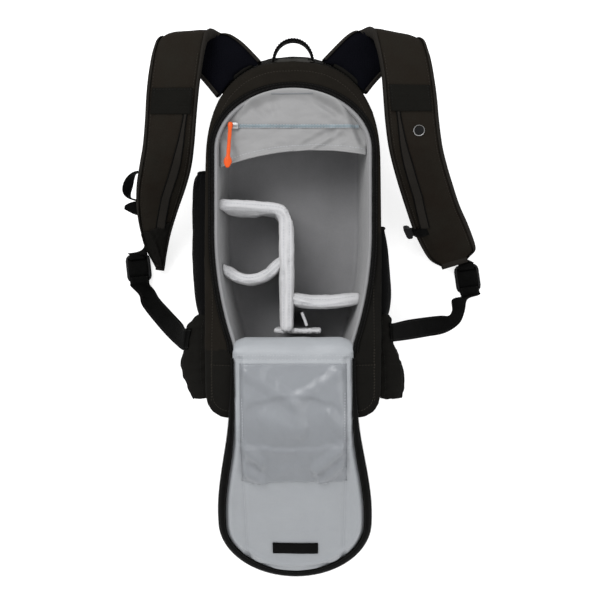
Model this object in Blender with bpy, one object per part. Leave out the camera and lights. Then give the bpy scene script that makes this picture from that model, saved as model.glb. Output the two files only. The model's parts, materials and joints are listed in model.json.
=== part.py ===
"""Camera backpack, lying on its front with the back door unzipped and folded down.

Metres, +Z up. The origin is the middle of the front face, which rests on the ground.
+Y runs towards the haul handle, +X to the right of someone who looks down on the back panel.
"""

import math

import bmesh
import bpy
from mathutils import Vector

# Clearances
GAP = 0.0003
GROUND_GAP = 0.0006

# Body
BODY_LENGTH = 0.444
BODY_WIDTH = 0.212
BODY_DEPTH = 0.150
SHELL_WALL = 0.006
FRAME_THICKNESS = 0.015
FRAME_ROUND = 0.009
FRONT_ROUND = 0.026
TOP_ARCH_HEIGHT = 0.141
TOP_ARCH_POWER = 2.4
TOP_SLOPE = 0.018
TOP_SLOPE_START = 0.100
BODY_CORNER = 0.030
LEAST_CORNER = 0.003

# Opening of the back panel
OPENING_WIDTH = 0.190
OPENING_LENGTH = 0.325
OPENING_LOW_MARGIN = 0.072
OPENING_ARCH_HEIGHT = 0.075
OPENING_TAPER = 0.023
OPENING_TAPER_START = 0.098
OPENING_TAPER_LENGTH = 0.137
OPENING_CORNER = 0.008
ZIP_TAPE_WIDTH = 0.0065
ZIP_TAPE_THICKNESS = 0.0014

# Padded lining
LINING_WALL = 0.0045
LINING_SLOPE = 0.008
LINING_FLOOR = 0.037
LINING_FLOOR_ROUND = 0.006

# Door
DOOR_LENGTH = 0.336
DOOR_SKEW = 0.003
DOOR_WIDTH = 0.192
DOOR_NECK_WIDTH = 0.147
DOOR_NECK_LENGTH = 0.020
DOOR_FLARE_LENGTH = 0.210
DOOR_THICKNESS = 0.010
DOOR_EDGE_WIDTH = 0.0055
DOOR_EDGE_THICKNESS = 0.0045
DOOR_ROLL = 0.026
DOOR_ROLL_DROP = 0.012
DOOR_BEND_RADIUS = 0.045
DOOR_POCKET_WIDTH = 0.128
DOOR_POCKET_LENGTH = 0.155
DOOR_POCKET_START = 0.006
DOOR_POCKET_THICKNESS = 0.0012
DOOR_POCKET_LIFT = 0.002
LABEL_WIDTH = 0.055
LABEL_LENGTH = 0.015
LABEL_THICKNESS = 0.0012
LABEL_PLACE = 0.2765

# Inside
DIVIDER_THICKNESS = 0.012
DIVIDER_HEIGHT = 0.095
CURVED_THICKNESS = 0.0096
LOW_DIVIDER_HEIGHT = 0.088
STRIP_THICKNESS = 0.0035
STRIP_HEIGHT = 0.076
TAB_WIDTH = 0.055
TAB_HEIGHT = 0.066
TAB_FOOT = 0.019
TAB_OFFSET = 0.0135
POCKET_SHEET = 0.003
POCKET_LENGTH = 0.0745
POCKET_SAG = 0.012
POCKET_OVERRUN = 0.002
POCKET_DEPTH_BELOW_RIM = 0.006
POCKET_ZIP_WIDTH = 0.0045
POCKET_ZIP_THICKNESS = 0.001
POCKET_ZIP_PLACE = 0.045
SLIDER_LENGTH = 0.011
SLIDER_WIDTH = 0.008
SLIDER_THICKNESS = 0.003
PULL_LENGTH = 0.055
PULL_WIDTH = 0.009
PULL_THICKNESS = 0.003

# Side pockets
SIDE_POCKET_WALL = 0.0025
SIDE_POCKET_LOW = 0.027
SIDE_POCKET_HIGH = 0.094
SIDE_POCKET_BULGE = 0.021
LEFT_POCKET_LENGTH = 0.198
RIGHT_POCKET_LENGTH = 0.122
LEFT_POCKET_BASE = 0.120
RIGHT_POCKET_BASE = 0.113

# Wings at the lower corners
WING_THICKNESS = 0.008
WING_LENGTH = 0.104
WING_REACH = 0.040
WING_BASE = 0.020
WING_ROOT_DEPTH = 0.042
WING_DROP = 0.034
WING_DROP_POWER = 1.4

# Haul handle
HANDLE_SPAN = 0.052
HANDLE_REACH = 0.0345
HANDLE_WIDTH = 0.022
HANDLE_THICKNESS = 0.0035
HANDLE_DEPTH_BELOW_BACK = 0.030

# Shoulder straps
STRAP_WIDTH = 0.063
STRAP_THICKNESS = 0.011
STRAP_REACH = 0.300
STRAP_ROOT_DEPTH = 0.022
STRAP_ROOT_SPREAD = 0.0615
STRAP_ROOT_TUCK = 0.0045
RAIL_WIDTH = 0.011
RAIL_LENGTH = 0.165
RAIL_THICKNESS = 0.0015
PATCH_START = 0.189
PATCH_LENGTH = 0.030
PATCH_WIDTH = 0.049
PATCH_THICKNESS = 0.0016
BADGE_RADIUS = 0.0072
BADGE_HEIGHT = 0.0018
BADGE_ALONG = 0.243
BADGE_ACROSS = 0.0068

# Webbing and hard parts at the strap ends
WEBBING_WIDTH = 0.025
WEBBING_THICKNESS = 0.0018
STUB_WIDTH = 0.020
LOCK_WIDTH = 0.032
LOCK_LENGTH = 0.037
LOCK_THICKNESS = 0.006
LOCK_BAR = 0.0045
LOCK_RAIL = 0.0035
LOCK_RISE = 0.003
LOCK_CORNER = 0.008
STUB_ROOT = 0.022
STUB_SLACK = 0.0015
LOOP_WEBBING_THICKNESS = 0.003
LOOP_WEBBING_WIDTH = 0.016
STERNUM_ALONG = 0.300
STERNUM_SPAN = 0.046
STERNUM_REACH = 0.018
TAIL_WIDTH = 0.018
TAIL_LENGTH = 0.018
BUCKLE_ALONG = 0.394
BUCKLE_LENGTH = 0.012
BUCKLE_WIDTH = 0.018
BUCKLE_THICKNESS = 0.007

BODY_TOP = BODY_LENGTH / 2
BODY_BOTTOM = -BODY_LENGTH / 2
HALF_BODY = BODY_WIDTH / 2
SHELL_TOP = BODY_DEPTH - FRAME_THICKNESS
OPENING_LOW = BODY_BOTTOM + OPENING_LOW_MARGIN
OPENING_TOP = OPENING_LOW + OPENING_LENGTH
OPENING_SHOULDER = OPENING_TOP - OPENING_ARCH_HEIGHT
DOOR_SEAT_LENGTH = OPENING_LOW_MARGIN - FRAME_ROUND

LINING_GREY = ("lining_cloth", (0.40, 0.40, 0.41), 0.85, 0.0)
DIVIDER_GREY = ("divider_cloth", (0.57, 0.57, 0.57), 0.9, 0.0)
POCKET_GREY = ("pocket_cloth", (0.40, 0.40, 0.40), 0.8, 0.0)
DOOR_GREY = ("door_cloth", (0.37, 0.39, 0.41), 0.75, 0.0)
DARK_CLOTH = ("dark_cloth", (0.017, 0.015, 0.012), 0.85, 0.0)
BROWN_CLOTH = ("strap_cloth", (0.024, 0.019, 0.016), 0.85, 0.0)
MESH_CLOTH = ("mesh_cloth", (0.008, 0.008, 0.009), 0.9, 0.0)
BLACK_TAPE = ("black_tape", (0.008, 0.008, 0.008), 0.7, 0.0)
PALE_TAPE = ("pale_tape", (0.40, 0.45, 0.47), 0.6, 0.0)
BLACK_PLASTIC = ("black_plastic", (0.01, 0.01, 0.011), 0.4, 0.0)
ORANGE_PLASTIC = ("orange_plastic", (0.55, 0.13, 0.03), 0.5, 0.0)
METAL = ("metal", (0.6, 0.6, 0.6), 0.3, 1.0)


def clear_scene():
    for item in list(bpy.data.objects):
        bpy.data.objects.remove(item, do_unlink=True)


def finish_material(finish):
    """One Principled material for each named finish."""
    name, colour, roughness, metallic = finish
    material = bpy.data.materials.get(name) or bpy.data.materials.new(name)
    material.use_nodes = True
    shader = material.node_tree.nodes["Principled BSDF"]
    shader.inputs["Base Color"].default_value = (*colour, 1.0)
    shader.inputs["Roughness"].default_value = roughness
    shader.inputs["Metallic"].default_value = metallic
    return material


def add_object(name, mesh_data, finish):
    """Close a bmesh into a named object with its faces pointing out."""
    bmesh.ops.recalc_face_normals(mesh_data, faces=mesh_data.faces)
    mesh = bpy.data.meshes.new(name)
    mesh_data.to_mesh(mesh)
    mesh_data.free()
    mesh.shade_smooth()
    mesh.set_sharp_from_angle(angle=math.radians(40))
    item = bpy.data.objects.new(name, mesh)
    bpy.context.scene.collection.objects.link(item)
    if finish:
        mesh.materials.append(finish_material(finish))
    return item


def loft(name, sections, finish, ring=False):
    """Skin a row of equal closed sections, capped at its ends or joined into a ring."""
    mesh_data = bmesh.new()
    rows = [[mesh_data.verts.new(point) for point in section] for section in sections]
    pairs = list(zip(rows, rows[1:]))
    if ring:
        pairs.append((rows[-1], rows[0]))
    for low, high in pairs:
        for i, corner in enumerate(low):
            j = (i + 1) % len(low)
            mesh_data.faces.new((corner, low[j], high[j], high[i]))
    if not ring:
        mesh_data.faces.new(rows[0])
        mesh_data.faces.new(rows[-1])
    return add_object(name, mesh_data, finish)


def boolean(item, cutter, operation):
    modifier = item.modifiers.new(operation.lower(), "BOOLEAN")
    modifier.operation = operation
    modifier.solver = "EXACT"
    modifier.object = cutter
    return item


def as_cutter(item):
    item.hide_render = True
    item.display_type = "WIRE"
    return item


def mix(low, high, share):
    return low + (high - low) * share


def smooth_share(share):
    share = min(1.0, max(0.0, share))
    return share * share * (3 - 2 * share)


def smooth_rows(rows, steps):
    """Catmull-Rom through rows of numbers, with this many steps between two rows."""
    result = []
    for index in range(len(rows) - 1):
        before = rows[max(0, index - 1)]
        start = rows[index]
        end = rows[index + 1]
        after = rows[min(len(rows) - 1, index + 2)]
        for step in range(steps):
            t = step / steps
            result.append([
                0.5 * (2 * b + (c - a) * t + (2 * a - 5 * b + 4 * c - d) * t ** 2
                       + (3 * b - a - 3 * c + d) * t ** 3)
                for a, b, c, d in zip(before, start, end, after)
            ])
    result.append(list(rows[-1]))
    return result


# Sections of a body outline: steps in a low corner, along a side and along half the arch
CORNER_STEPS = 4
SIDE_STEPS = 7
ARCH_STEPS = 10


def arch_outline(low, top, shoulder, corner, power, half_width_at):
    """Closed outline with a flat low edge, round low corners, sides and an arched top."""
    right = [(0.0, low), ((half_width_at(low) - corner) / 2, low)]
    for step in range(CORNER_STEPS + 1):
        angle = math.radians(90) * step / CORNER_STEPS
        y = low + corner * (1 - math.cos(angle))
        right.append((half_width_at(y) - corner * (1 - math.sin(angle)), y))
    for step in range(1, SIDE_STEPS):
        y = mix(low + corner, shoulder, step / SIDE_STEPS)
        right.append((half_width_at(y), y))
    for step in range(ARCH_STEPS):
        angle = math.radians(90) * step / ARCH_STEPS
        right.append((
            half_width_at(shoulder) * math.cos(angle) ** (2 / power),
            mix(shoulder, top, math.sin(angle) ** (2 / power)),
        ))
    left = [(-x, y) for x, y in reversed(right[1:])]
    return right + [(0.0, top)] + left


def at_height(points, z):
    return [Vector((x, y, z)) for x, y in points]


def top_lean(z):
    """How far the rounded top end leans in at a height."""
    return TOP_SLOPE * max(0.0, z - TOP_SLOPE_START) / (BODY_DEPTH - TOP_SLOPE_START)


def body_points(inset, z):
    """Body outline at a height, moved in by inset."""
    return arch_outline(
        BODY_BOTTOM + inset,
        BODY_TOP - inset - top_lean(z),
        BODY_TOP - TOP_ARCH_HEIGHT,
        max(LEAST_CORNER, BODY_CORNER - inset),
        TOP_ARCH_POWER,
        lambda y: HALF_BODY - inset,
    )


def body_ring(inset, z):
    return at_height(body_points(inset, z), z)


def opening_half_width(y):
    low_share = (OPENING_SHOULDER - OPENING_TAPER_START - y) / OPENING_TAPER_LENGTH
    return OPENING_WIDTH / 2 - OPENING_TAPER * min(1.0, max(0.0, low_share)) ** 2


def opening_points(inset):
    """Outline of the opening in the back panel, moved in by inset."""
    return arch_outline(
        OPENING_LOW + inset,
        OPENING_TOP - inset,
        OPENING_SHOULDER,
        max(LEAST_CORNER, OPENING_CORNER - inset),
        2.0,
        lambda y: opening_half_width(y) - inset,
    )


def opening_ring(inset, z):
    return at_height(opening_points(inset), z)


def front_round_rings(extra):
    """Rings from the flat front face round its edge to the straight side."""
    rings = []
    for step in range(4):
        angle = math.radians(90) * step / 3
        inset = FRONT_ROUND * (1 - math.sin(angle)) - extra
        rings.append(body_ring(inset, FRONT_ROUND * (1 - math.cos(angle))))
    return rings


def frame_round_rings(extra):
    """Outer rings of the back frame, rounded over to its flat face."""
    rings = []
    for step in range(4):
        angle = math.radians(90) * step / 3
        z = BODY_DEPTH - FRAME_ROUND * (1 - math.sin(angle))
        rings.append(body_ring(FRAME_ROUND * (1 - math.cos(angle)) - extra, z))
    return rings


def build_shell():
    outer = front_round_rings(0.0)
    outer += [body_ring(0.0, TOP_SLOPE_START), body_ring(0.0, SHELL_TOP)]
    inner = [
        body_ring(SHELL_WALL, SHELL_TOP),
        body_ring(SHELL_WALL, TOP_SLOPE_START),
        body_ring(SHELL_WALL, FRONT_ROUND),
        body_ring(FRONT_ROUND / 2 + SHELL_WALL / 2, SHELL_WALL + FRONT_ROUND * 0.16),
        body_ring(FRONT_ROUND, SHELL_WALL),
    ]
    loft("shell", outer + inner, DARK_CLOTH)


def build_back_frame():
    low = SHELL_TOP + GAP
    rings = [body_ring(0.0, low)] + frame_round_rings(0.0)
    rings += [opening_ring(-GAP, BODY_DEPTH), opening_ring(-GAP, low)]
    loft("back_frame", rings, BROWN_CLOTH, ring=True)


def build_body_envelope():
    """Cutter: the body's outside, one gap larger."""
    rings = front_round_rings(GAP)
    rings += [body_ring(-GAP, TOP_SLOPE_START), body_ring(-GAP, SHELL_TOP)]
    rings += frame_round_rings(GAP)
    return as_cutter(loft("body_envelope", rings, None))


def lining_inset(z):
    """Inset of the lining's inner face from the opening's outline."""
    return mix(LINING_SLOPE, 0.0, (z - LINING_FLOOR) / (BODY_DEPTH - LINING_FLOOR)) + LINING_WALL


def build_lining():
    under = LINING_FLOOR - LINING_WALL
    side = LINING_FLOOR + LINING_FLOOR_ROUND
    outer = [
        opening_ring(LINING_SLOPE + LINING_FLOOR_ROUND, under),
        opening_ring(lining_inset(side) - LINING_WALL, side - LINING_WALL / 2),
        opening_ring(0.0, BODY_DEPTH - LINING_WALL / 3),
        opening_ring(LINING_WALL / 4, BODY_DEPTH),
    ]
    inner = [
        opening_ring(LINING_WALL * 0.75, BODY_DEPTH),
        opening_ring(lining_inset(BODY_DEPTH - LINING_WALL / 3), BODY_DEPTH - LINING_WALL / 3),
        opening_ring(lining_inset(side), side),
        opening_ring(LINING_SLOPE + LINING_WALL + LINING_FLOOR_ROUND, LINING_FLOOR),
    ]
    loft("lining", outer + inner, LINING_GREY)


def build_bay_envelope():
    """Cutter: the room inside the lining, one gap smaller."""
    side = LINING_FLOOR + LINING_FLOOR_ROUND
    rings = [
        opening_ring(LINING_SLOPE + LINING_WALL + LINING_FLOOR_ROUND + GAP, LINING_FLOOR + GAP),
        opening_ring(lining_inset(side) + GAP, side + GAP),
        opening_ring(lining_inset(BODY_DEPTH) + GAP, BODY_DEPTH),
    ]
    return as_cutter(loft("bay_envelope", rings, None))


def build_rim_zipper():
    """Zip tape along the opening, from one end of the hinge over the top to the other."""
    inside = opening_points(-GAP)
    outside = opening_points(-GAP - ZIP_TAPE_WIDTH)
    middle = len(inside) // 2
    first = CORNER_STEPS + 2
    low_z = BODY_DEPTH + GAP
    high_z = low_z + ZIP_TAPE_THICKNESS
    sections = []
    for index in range(first, 2 * middle - first + 1):
        (ix, iy), (ox, oy) = inside[index], outside[index]
        sections.append([
            (ix, iy, low_z), (ox, oy, low_z), (ox, oy, high_z - GAP),
            (mix(ox, ix, 0.5), mix(oy, iy, 0.5), high_z), (ix, iy, high_z - GAP),
        ])
    loft("rim_zipper", sections, BLACK_TAPE)


# Door: a padded panel with an outline (t along its length, x across), bent over the low edge

DOOR_TIP_STEPS = 8
# Share of the last step of the tip at which the padding ends bluntly
DOOR_TIP_BLUNT = 0.85


def door_edge_half(t):
    """Half width of the door, binding included, at a distance t from the hinge."""
    tip_start = DOOR_LENGTH - DOOR_WIDTH / 2
    if t > tip_start:
        share = min(1.0, (t - tip_start) / (DOOR_WIDTH / 2))
        return DOOR_WIDTH / 2 * math.sqrt(1 - share * share)
    share = smooth_share((t - DOOR_NECK_LENGTH) / DOOR_FLARE_LENGTH)
    return mix(DOOR_NECK_WIDTH, DOOR_WIDTH, share) / 2


def door_drop_angle():
    """Angle at which the binding at the door's tip reaches the ground."""
    length = DOOR_LENGTH - DOOR_SEAT_LENGTH
    drop = BODY_DEPTH + GAP - GROUND_GAP + (DOOR_THICKNESS - DOOR_EDGE_THICKNESS) / 2
    low, high = 0.0, math.radians(80)
    for _ in range(50):
        angle = (low + high) / 2
        straight = max(0.0, length - DOOR_BEND_RADIUS * angle)
        reached = DOOR_BEND_RADIUS * (1 - math.cos(angle)) + straight * math.sin(angle)
        if reached < drop:
            low = angle
        else:
            high = angle
    return low


DOOR_ANGLE = door_drop_angle()


def door_base(t):
    """Point and upward normal of the door's underside, as (y, z, ny, nz)."""
    z_seat = BODY_DEPTH + GAP
    if t <= DOOR_SEAT_LENGTH:
        return OPENING_LOW - t, z_seat, 0.0, 1.0
    bent = min(DOOR_ANGLE, (t - DOOR_SEAT_LENGTH) / DOOR_BEND_RADIUS)
    straight = max(0.0, t - DOOR_SEAT_LENGTH - DOOR_BEND_RADIUS * DOOR_ANGLE)
    y = OPENING_LOW - DOOR_SEAT_LENGTH - DOOR_BEND_RADIUS * math.sin(bent) - straight * math.cos(bent)
    z = z_seat - DOOR_BEND_RADIUS * (1 - math.cos(bent)) - straight * math.sin(bent)
    return y, z, -math.sin(bent), math.cos(bent)


def on_door(t, x, height):
    """Point above the door's underside; the door swings a little to one side."""
    y, z, ny, nz = door_base(t)
    return Vector((x + DOOR_SKEW * t / DOOR_LENGTH, y + ny * height, z + nz * height))


def door_stations():
    """Distances from the hinge at which the door has a section."""
    free = [DOOR_SEAT_LENGTH * share for share in (0.0, 0.34, 0.67, 1.0)]
    bend = DOOR_BEND_RADIUS * DOOR_ANGLE
    free += [DOOR_SEAT_LENGTH + bend * share for share in (0.25, 0.5, 0.75, 1.0)]
    tip_start = DOOR_LENGTH - DOOR_WIDTH / 2
    free += [mix(free[-1], tip_start, share) for share in (0.25, 0.5, 0.75, 1.0)]
    return free


def door_tip(radius):
    """Points of the round tip as (t, half width), from beside its centre to the very end."""
    tip_start = DOOR_LENGTH - DOOR_WIDTH / 2
    angles = [math.radians(90) * step / DOOR_TIP_STEPS for step in range(1, DOOR_TIP_STEPS + 1)]
    return [(tip_start + radius * math.sin(angle), radius * math.cos(angle)) for angle in angles]


def panel_section(t, half):
    """Closed section across the padded panel with rounded sides."""
    low = 0.0
    high = DOOR_THICKNESS
    soft = min(half * 0.4, DOOR_THICKNESS * 0.6)
    middle = DOOR_THICKNESS / 2
    across = [
        (-half, middle), (-half + soft * 0.3, low + 0.2 * high), (-half + soft, low), (0.0, low),
        (half - soft, low), (half - soft * 0.3, low + 0.2 * high), (half, middle),
        (half - soft * 0.3, 0.8 * high), (half - soft, high), (0.0, high),
        (-half + soft, high), (-half + soft * 0.3, 0.8 * high),
    ]
    return [on_door(t, x, height) for x, height in across]


# Roll of the door's low end, over the bay: share of its reach, of its drop and of the thickness
ROLL_ROWS = (
    (1.00, 1.00, 0.40),
    (0.88, 0.72, 0.85),
    (0.64, 0.25, 1.00),
    (0.36, 0.00, 1.00),
)


def roll_section(reach_share, drop_share, thickness_share):
    """Section of the roll; where it dips below the rim it stays inside the lining."""
    reach = DOOR_ROLL * reach_share
    half = DOOR_NECK_WIDTH / 2 - DOOR_EDGE_WIDTH - GAP
    if drop_share > 0:
        room = opening_half_width(OPENING_LOW + reach) - LINING_WALL - LINING_SLOPE * 0.2 - 2 * GAP
        half = min(half, room) - DOOR_ROLL * 0.2 * max(0.0, reach_share - 0.7)
    middle = BODY_DEPTH + GAP + DOOR_THICKNESS / 2
    return [
        Vector((p.x, p.y + reach, middle + (p.z - middle) * thickness_share - DOOR_ROLL_DROP * drop_share))
        for p in panel_section(0.0, half)
    ]


def build_door_panel():
    inset = DOOR_EDGE_WIDTH + GAP
    sections = [roll_section(*row) for row in ROLL_ROWS]
    for t in door_stations():
        sections.append(panel_section(t, door_edge_half(t) - inset))
    tip = door_tip(DOOR_WIDTH / 2 - inset)
    for t, half in tip[:-1]:
        sections.append(panel_section(t, half))
    last_t, last_half = (mix(a, b, DOOR_TIP_BLUNT) for a, b in zip(tip[-2], tip[-1]))
    sections.append(panel_section(last_t, last_half))
    loft("door_panel", sections, DOOR_GREY)


def build_door_edge():
    """Binding and zip tape round the door, hinge to hinge."""
    tip_start = DOOR_LENGTH - DOOR_WIDTH / 2
    radius = DOOR_WIDTH / 2
    side = [(t, door_edge_half(t)) for t in door_stations()] + door_tip(radius)
    whole = side + [(t, -half) for t, half in reversed(side[:-1])]
    low = (DOOR_THICKNESS - DOOR_EDGE_THICKNESS) / 2
    high = low + DOOR_EDGE_THICKNESS
    sections = []
    for index, (t, x) in enumerate(whole):
        if t <= tip_start:
            out_t, out_x = 0.0, math.copysign(1.0, x)
        else:
            out_t, out_x = (t - tip_start) / radius, x / radius
        corners = ((DOOR_EDGE_WIDTH, low), (DOOR_EDGE_WIDTH, high), (DOOR_EDGE_WIDTH / 3, high),
                   (0.0, (low + high) / 2), (DOOR_EDGE_WIDTH / 3, low))
        sections.append([on_door(t - out_t * inward, x - out_x * inward, height)
                         for inward, height in corners])
    loft("door_edge", sections, BLACK_TAPE)


def build_door_pocket():
    """Clear sheet on the door, sewn on three sides and open towards the tip."""
    half = DOOR_POCKET_WIDTH / 2
    base = DOOR_THICKNESS + GAP
    end = DOOR_POCKET_START + DOOR_POCKET_LENGTH
    between = [t for t in door_stations() if DOOR_POCKET_START < t < end]
    sections = []
    for t in [DOOR_POCKET_START] + between + [end]:
        lift = DOOR_POCKET_LIFT * smooth_share((t - DOOR_POCKET_START) / DOOR_POCKET_LENGTH * 1.5)
        heights = [base, base + lift * 0.8, base + lift, base + lift * 0.8, base]
        across = [-half, -half * 0.7, 0.0, half * 0.7, half]
        under = [on_door(t, x, height) for x, height in zip(across, heights)]
        over = [on_door(t, x, height + DOOR_POCKET_THICKNESS) for x, height in zip(across, heights)]
        sections.append(under + over[::-1])
    loft("door_pocket", sections, PALE_TAPE)


def build_door_label():
    half = LABEL_WIDTH / 2
    low = DOOR_THICKNESS + GAP
    high = low + LABEL_THICKNESS
    sections = []
    for t in (LABEL_PLACE - LABEL_LENGTH / 2, LABEL_PLACE + LABEL_LENGTH / 2):
        sections.append([on_door(t, x, height) for x, height in
                         ((-half, low), (half, low), (half, high), (-half, high))])
    loft("door_label", sections, BLACK_TAPE)


# Dividers: upright walls that follow a path in plan, cut to fit the lining

# Paths as shares: x of half the opening's width, y of the opening's length above the hinge
MAIN_DIVIDER = (
    (-1.00, 0.570),
    (-0.50, 0.561),
    (-0.20, 0.553),
    (-0.11, 0.537),
    (-0.085, 0.508),
    (-0.085, 0.400),
    (-0.085, 0.250),
    (-0.085, 0.105),
)
CURVED_DIVIDER = (
    (-0.955, 0.4250),
    (-0.945, 0.3650),
    (-0.86, 0.331),
    (-0.73, 0.303),
    (-0.57, 0.291),
    (-0.42, 0.299),
    (-0.30, 0.321),
    (-0.12, 0.376),
)
RIGHT_DIVIDER = (
    (-0.070, 0.232),
    (0.07, 0.216),
    (0.28, 0.207),
    (0.51, 0.209),
    (0.75, 0.218),
    (1.00, 0.230),
)
STRIP = (
    (0.110, 0.168),
    (0.150, 0.140),
    (0.175, 0.118),
)


def bay_place(x_share, y_share):
    return x_share * OPENING_WIDTH / 2, OPENING_LOW + y_share * OPENING_LENGTH


def path_sides(path, thickness):
    """Points on both sides of a plan path."""
    sides = []
    for index, (x, y) in enumerate(path):
        ax, ay = path[max(0, index - 1)]
        bx, by = path[min(len(path) - 1, index + 1)]
        length = math.hypot(bx - ax, by - ay)
        nx, ny = -(by - ay) / length, (bx - ax) / length
        sides.append(((x + nx * thickness / 2, y + ny * thickness / 2),
                      (x - nx * thickness / 2, y - ny * thickness / 2)))
    return sides


def divider_walls(shares, thickness, base, top, crown):
    """Sections of an upright wall along a plan path, with a softened crown."""
    sections = []
    for (lx, ly), (rx, ry) in path_sides([bay_place(*row) for row in shares], thickness):
        sections.append([
            (lx, ly, base), (rx, ry, base), (rx, ry, top - crown),
            (mix(rx, lx, 0.25), mix(ry, ly, 0.25), top), (mix(rx, lx, 0.75), mix(ry, ly, 0.75), top),
            (lx, ly, top - crown),
        ])
    return sections


def build_divider(name, shares, thickness, height, cutters):
    base = LINING_FLOOR + GAP
    walls = divider_walls(shares, thickness, base, base + height, thickness * 0.3)
    item = loft(name, walls, DIVIDER_GREY)
    for cutter, operation in cutters:
        boolean(item, cutter, operation)


def build_main_envelope():
    """Cutter: the main divider, one gap larger and taller than the bay."""
    walls = divider_walls(MAIN_DIVIDER, DIVIDER_THICKNESS + 2 * GAP, 0.0, BODY_DEPTH * 2, 0.0)
    return as_cutter(loft("main_envelope", walls, None))


def build_divider_end_tab():
    """Sewn tab across the low end of the main divider."""
    x_end, y_end = bay_place(*MAIN_DIVIDER[-1])
    x_mid = x_end + TAB_OFFSET
    y_low = y_end - GAP - STRIP_THICKNESS
    base = LINING_FLOOR + GAP + TAB_FOOT
    top = base + TAB_HEIGHT
    sections = []
    for x in (x_mid - TAB_WIDTH / 2, x_mid + TAB_WIDTH / 2):
        sections.append([(x, y_low, base), (x, y_low + STRIP_THICKNESS, base),
                         (x, y_low + STRIP_THICKNESS, top), (x, y_low, top)])
    loft("divider_end_tab", sections, DIVIDER_GREY)


# Pocket under the arch of the bay

def pocket_low_edge(x):
    """Low edge of the pocket, which hangs lower at its left corner."""
    share = x / (OPENING_WIDTH / 2)
    return OPENING_TOP - POCKET_LENGTH - POCKET_SAG * (1.16 * share * share - 0.68 * share)


def pocket_height(x, along):
    """Top face of the pocket sheet; along runs from its low edge, 0, to the crown, 1."""
    share = x / (OPENING_WIDTH / 2)
    rim = BODY_DEPTH - POCKET_DEPTH_BELOW_RIM
    return rim - POCKET_SAG * (1 - smooth_share(along * 1.4)) * 0.6 - 0.25 * POCKET_SAG * share * share


def pocket_columns():
    count = 12
    half = OPENING_WIDTH / 2
    return [mix(-half, half, step / count) for step in range(count + 1)]


def pocket_point(x, along, lift):
    y = mix(pocket_low_edge(x), OPENING_TOP + POCKET_OVERRUN, along)
    return Vector((x, y, pocket_height(x, along) + lift))


POCKET_ROWS = (0.0, 0.2, 0.4, 0.6, 0.8, 1.0)


def build_inner_pocket(bay):
    sections = []
    for x in pocket_columns():
        over = [pocket_point(x, along, 0.0) for along in POCKET_ROWS]
        under = [pocket_point(x, along, -POCKET_SHEET) for along in POCKET_ROWS]
        sections.append(over + under[::-1])
    boolean(loft("inner_pocket", sections, POCKET_GREY), bay, "INTERSECT")


def zip_along(x):
    """Share along the pocket at which its zip lies, level across the bay."""
    low = pocket_low_edge(x)
    return (OPENING_TOP - POCKET_ZIP_PLACE - low) / (OPENING_TOP + POCKET_OVERRUN - low)


def build_inner_pocket_zipper():
    low, high = 2 * GAP, 2 * GAP + POCKET_ZIP_THICKNESS
    sections = []
    for x in pocket_columns()[1:-1]:
        middle = pocket_point(x, zip_along(x), 0.0)
        half = Vector((0, POCKET_ZIP_WIDTH / 2, 0))
        up = Vector((0, 0, 1))
        sections.append([middle - half + up * low, middle + half + up * low,
                         middle + half + up * high, middle - half + up * high])
    loft("inner_pocket_zipper", sections, PALE_TAPE)


def slider_place():
    x = pocket_columns()[1] + SLIDER_WIDTH
    return pocket_point(x, zip_along(x), 3 * GAP + POCKET_ZIP_THICKNESS)


def block(name, centre, size, finish):
    """Plate with its low face at the centre's height."""
    x, y, z = centre
    wide, deep, high = size
    sections = []
    for height, inset in ((0.0, 0.0), (high * 0.7, 0.0), (high, high * 0.3)):
        a, b = wide / 2 - inset, deep / 2 - inset
        sections.append([(x - a, y - b, z + height), (x + a, y - b, z + height),
                         (x + a, y + b, z + height), (x - a, y + b, z + height)])
    return loft(name, sections, finish)


def build_zip_slider():
    place = slider_place()
    block("zip_slider", place, (SLIDER_LENGTH, SLIDER_WIDTH, SLIDER_THICKNESS), METAL)


# Moulded pull: share of its length, share of its width, from the slider to the bulb
PULL_ROWS = (
    (0.00, 0.60),
    (0.10, 0.60),
    (0.16, 0.45),
    (0.72, 0.60),
    (0.82, 0.95),
    (0.92, 1.00),
    (1.00, 0.55),
)


def build_zip_pull():
    top = slider_place() + Vector((0, 0, SLIDER_THICKNESS + GAP))
    sections = []
    for along, wide in PULL_ROWS:
        half = PULL_WIDTH / 2 * wide
        y = top.y + SLIDER_WIDTH / 2 - PULL_LENGTH * along
        sections.append([
            (top.x - half, y, top.z), (top.x + half, y, top.z),
            (top.x + half, y, top.z + PULL_THICKNESS * 0.7),
            (top.x, y, top.z + PULL_THICKNESS), (top.x - half, y, top.z + PULL_THICKNESS * 0.7),
        ])
    loft("zip_pull", sections, ORANGE_PLASTIC)


# Side pockets: a skin that stands off the body's side and is open at its top

# Share of the length from the mouth down, share of the bulge
LEFT_POCKET_ROWS = (
    (0.00, 0.56),
    (0.05, 0.84),
    (0.28, 0.95),
    (0.55, 0.95),
    (0.75, 0.82),
    (0.88, 0.60),
    (0.96, 0.30),
    (1.00, 0.00),
)
RIGHT_POCKET_ROWS = (
    (0.00, 0.28),
    (0.12, 0.42),
    (0.30, 0.58),
    (0.50, 0.72),
    (0.70, 0.74),
    (0.86, 0.58),
    (0.95, 0.30),
    (1.00, 0.00),
)


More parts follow.
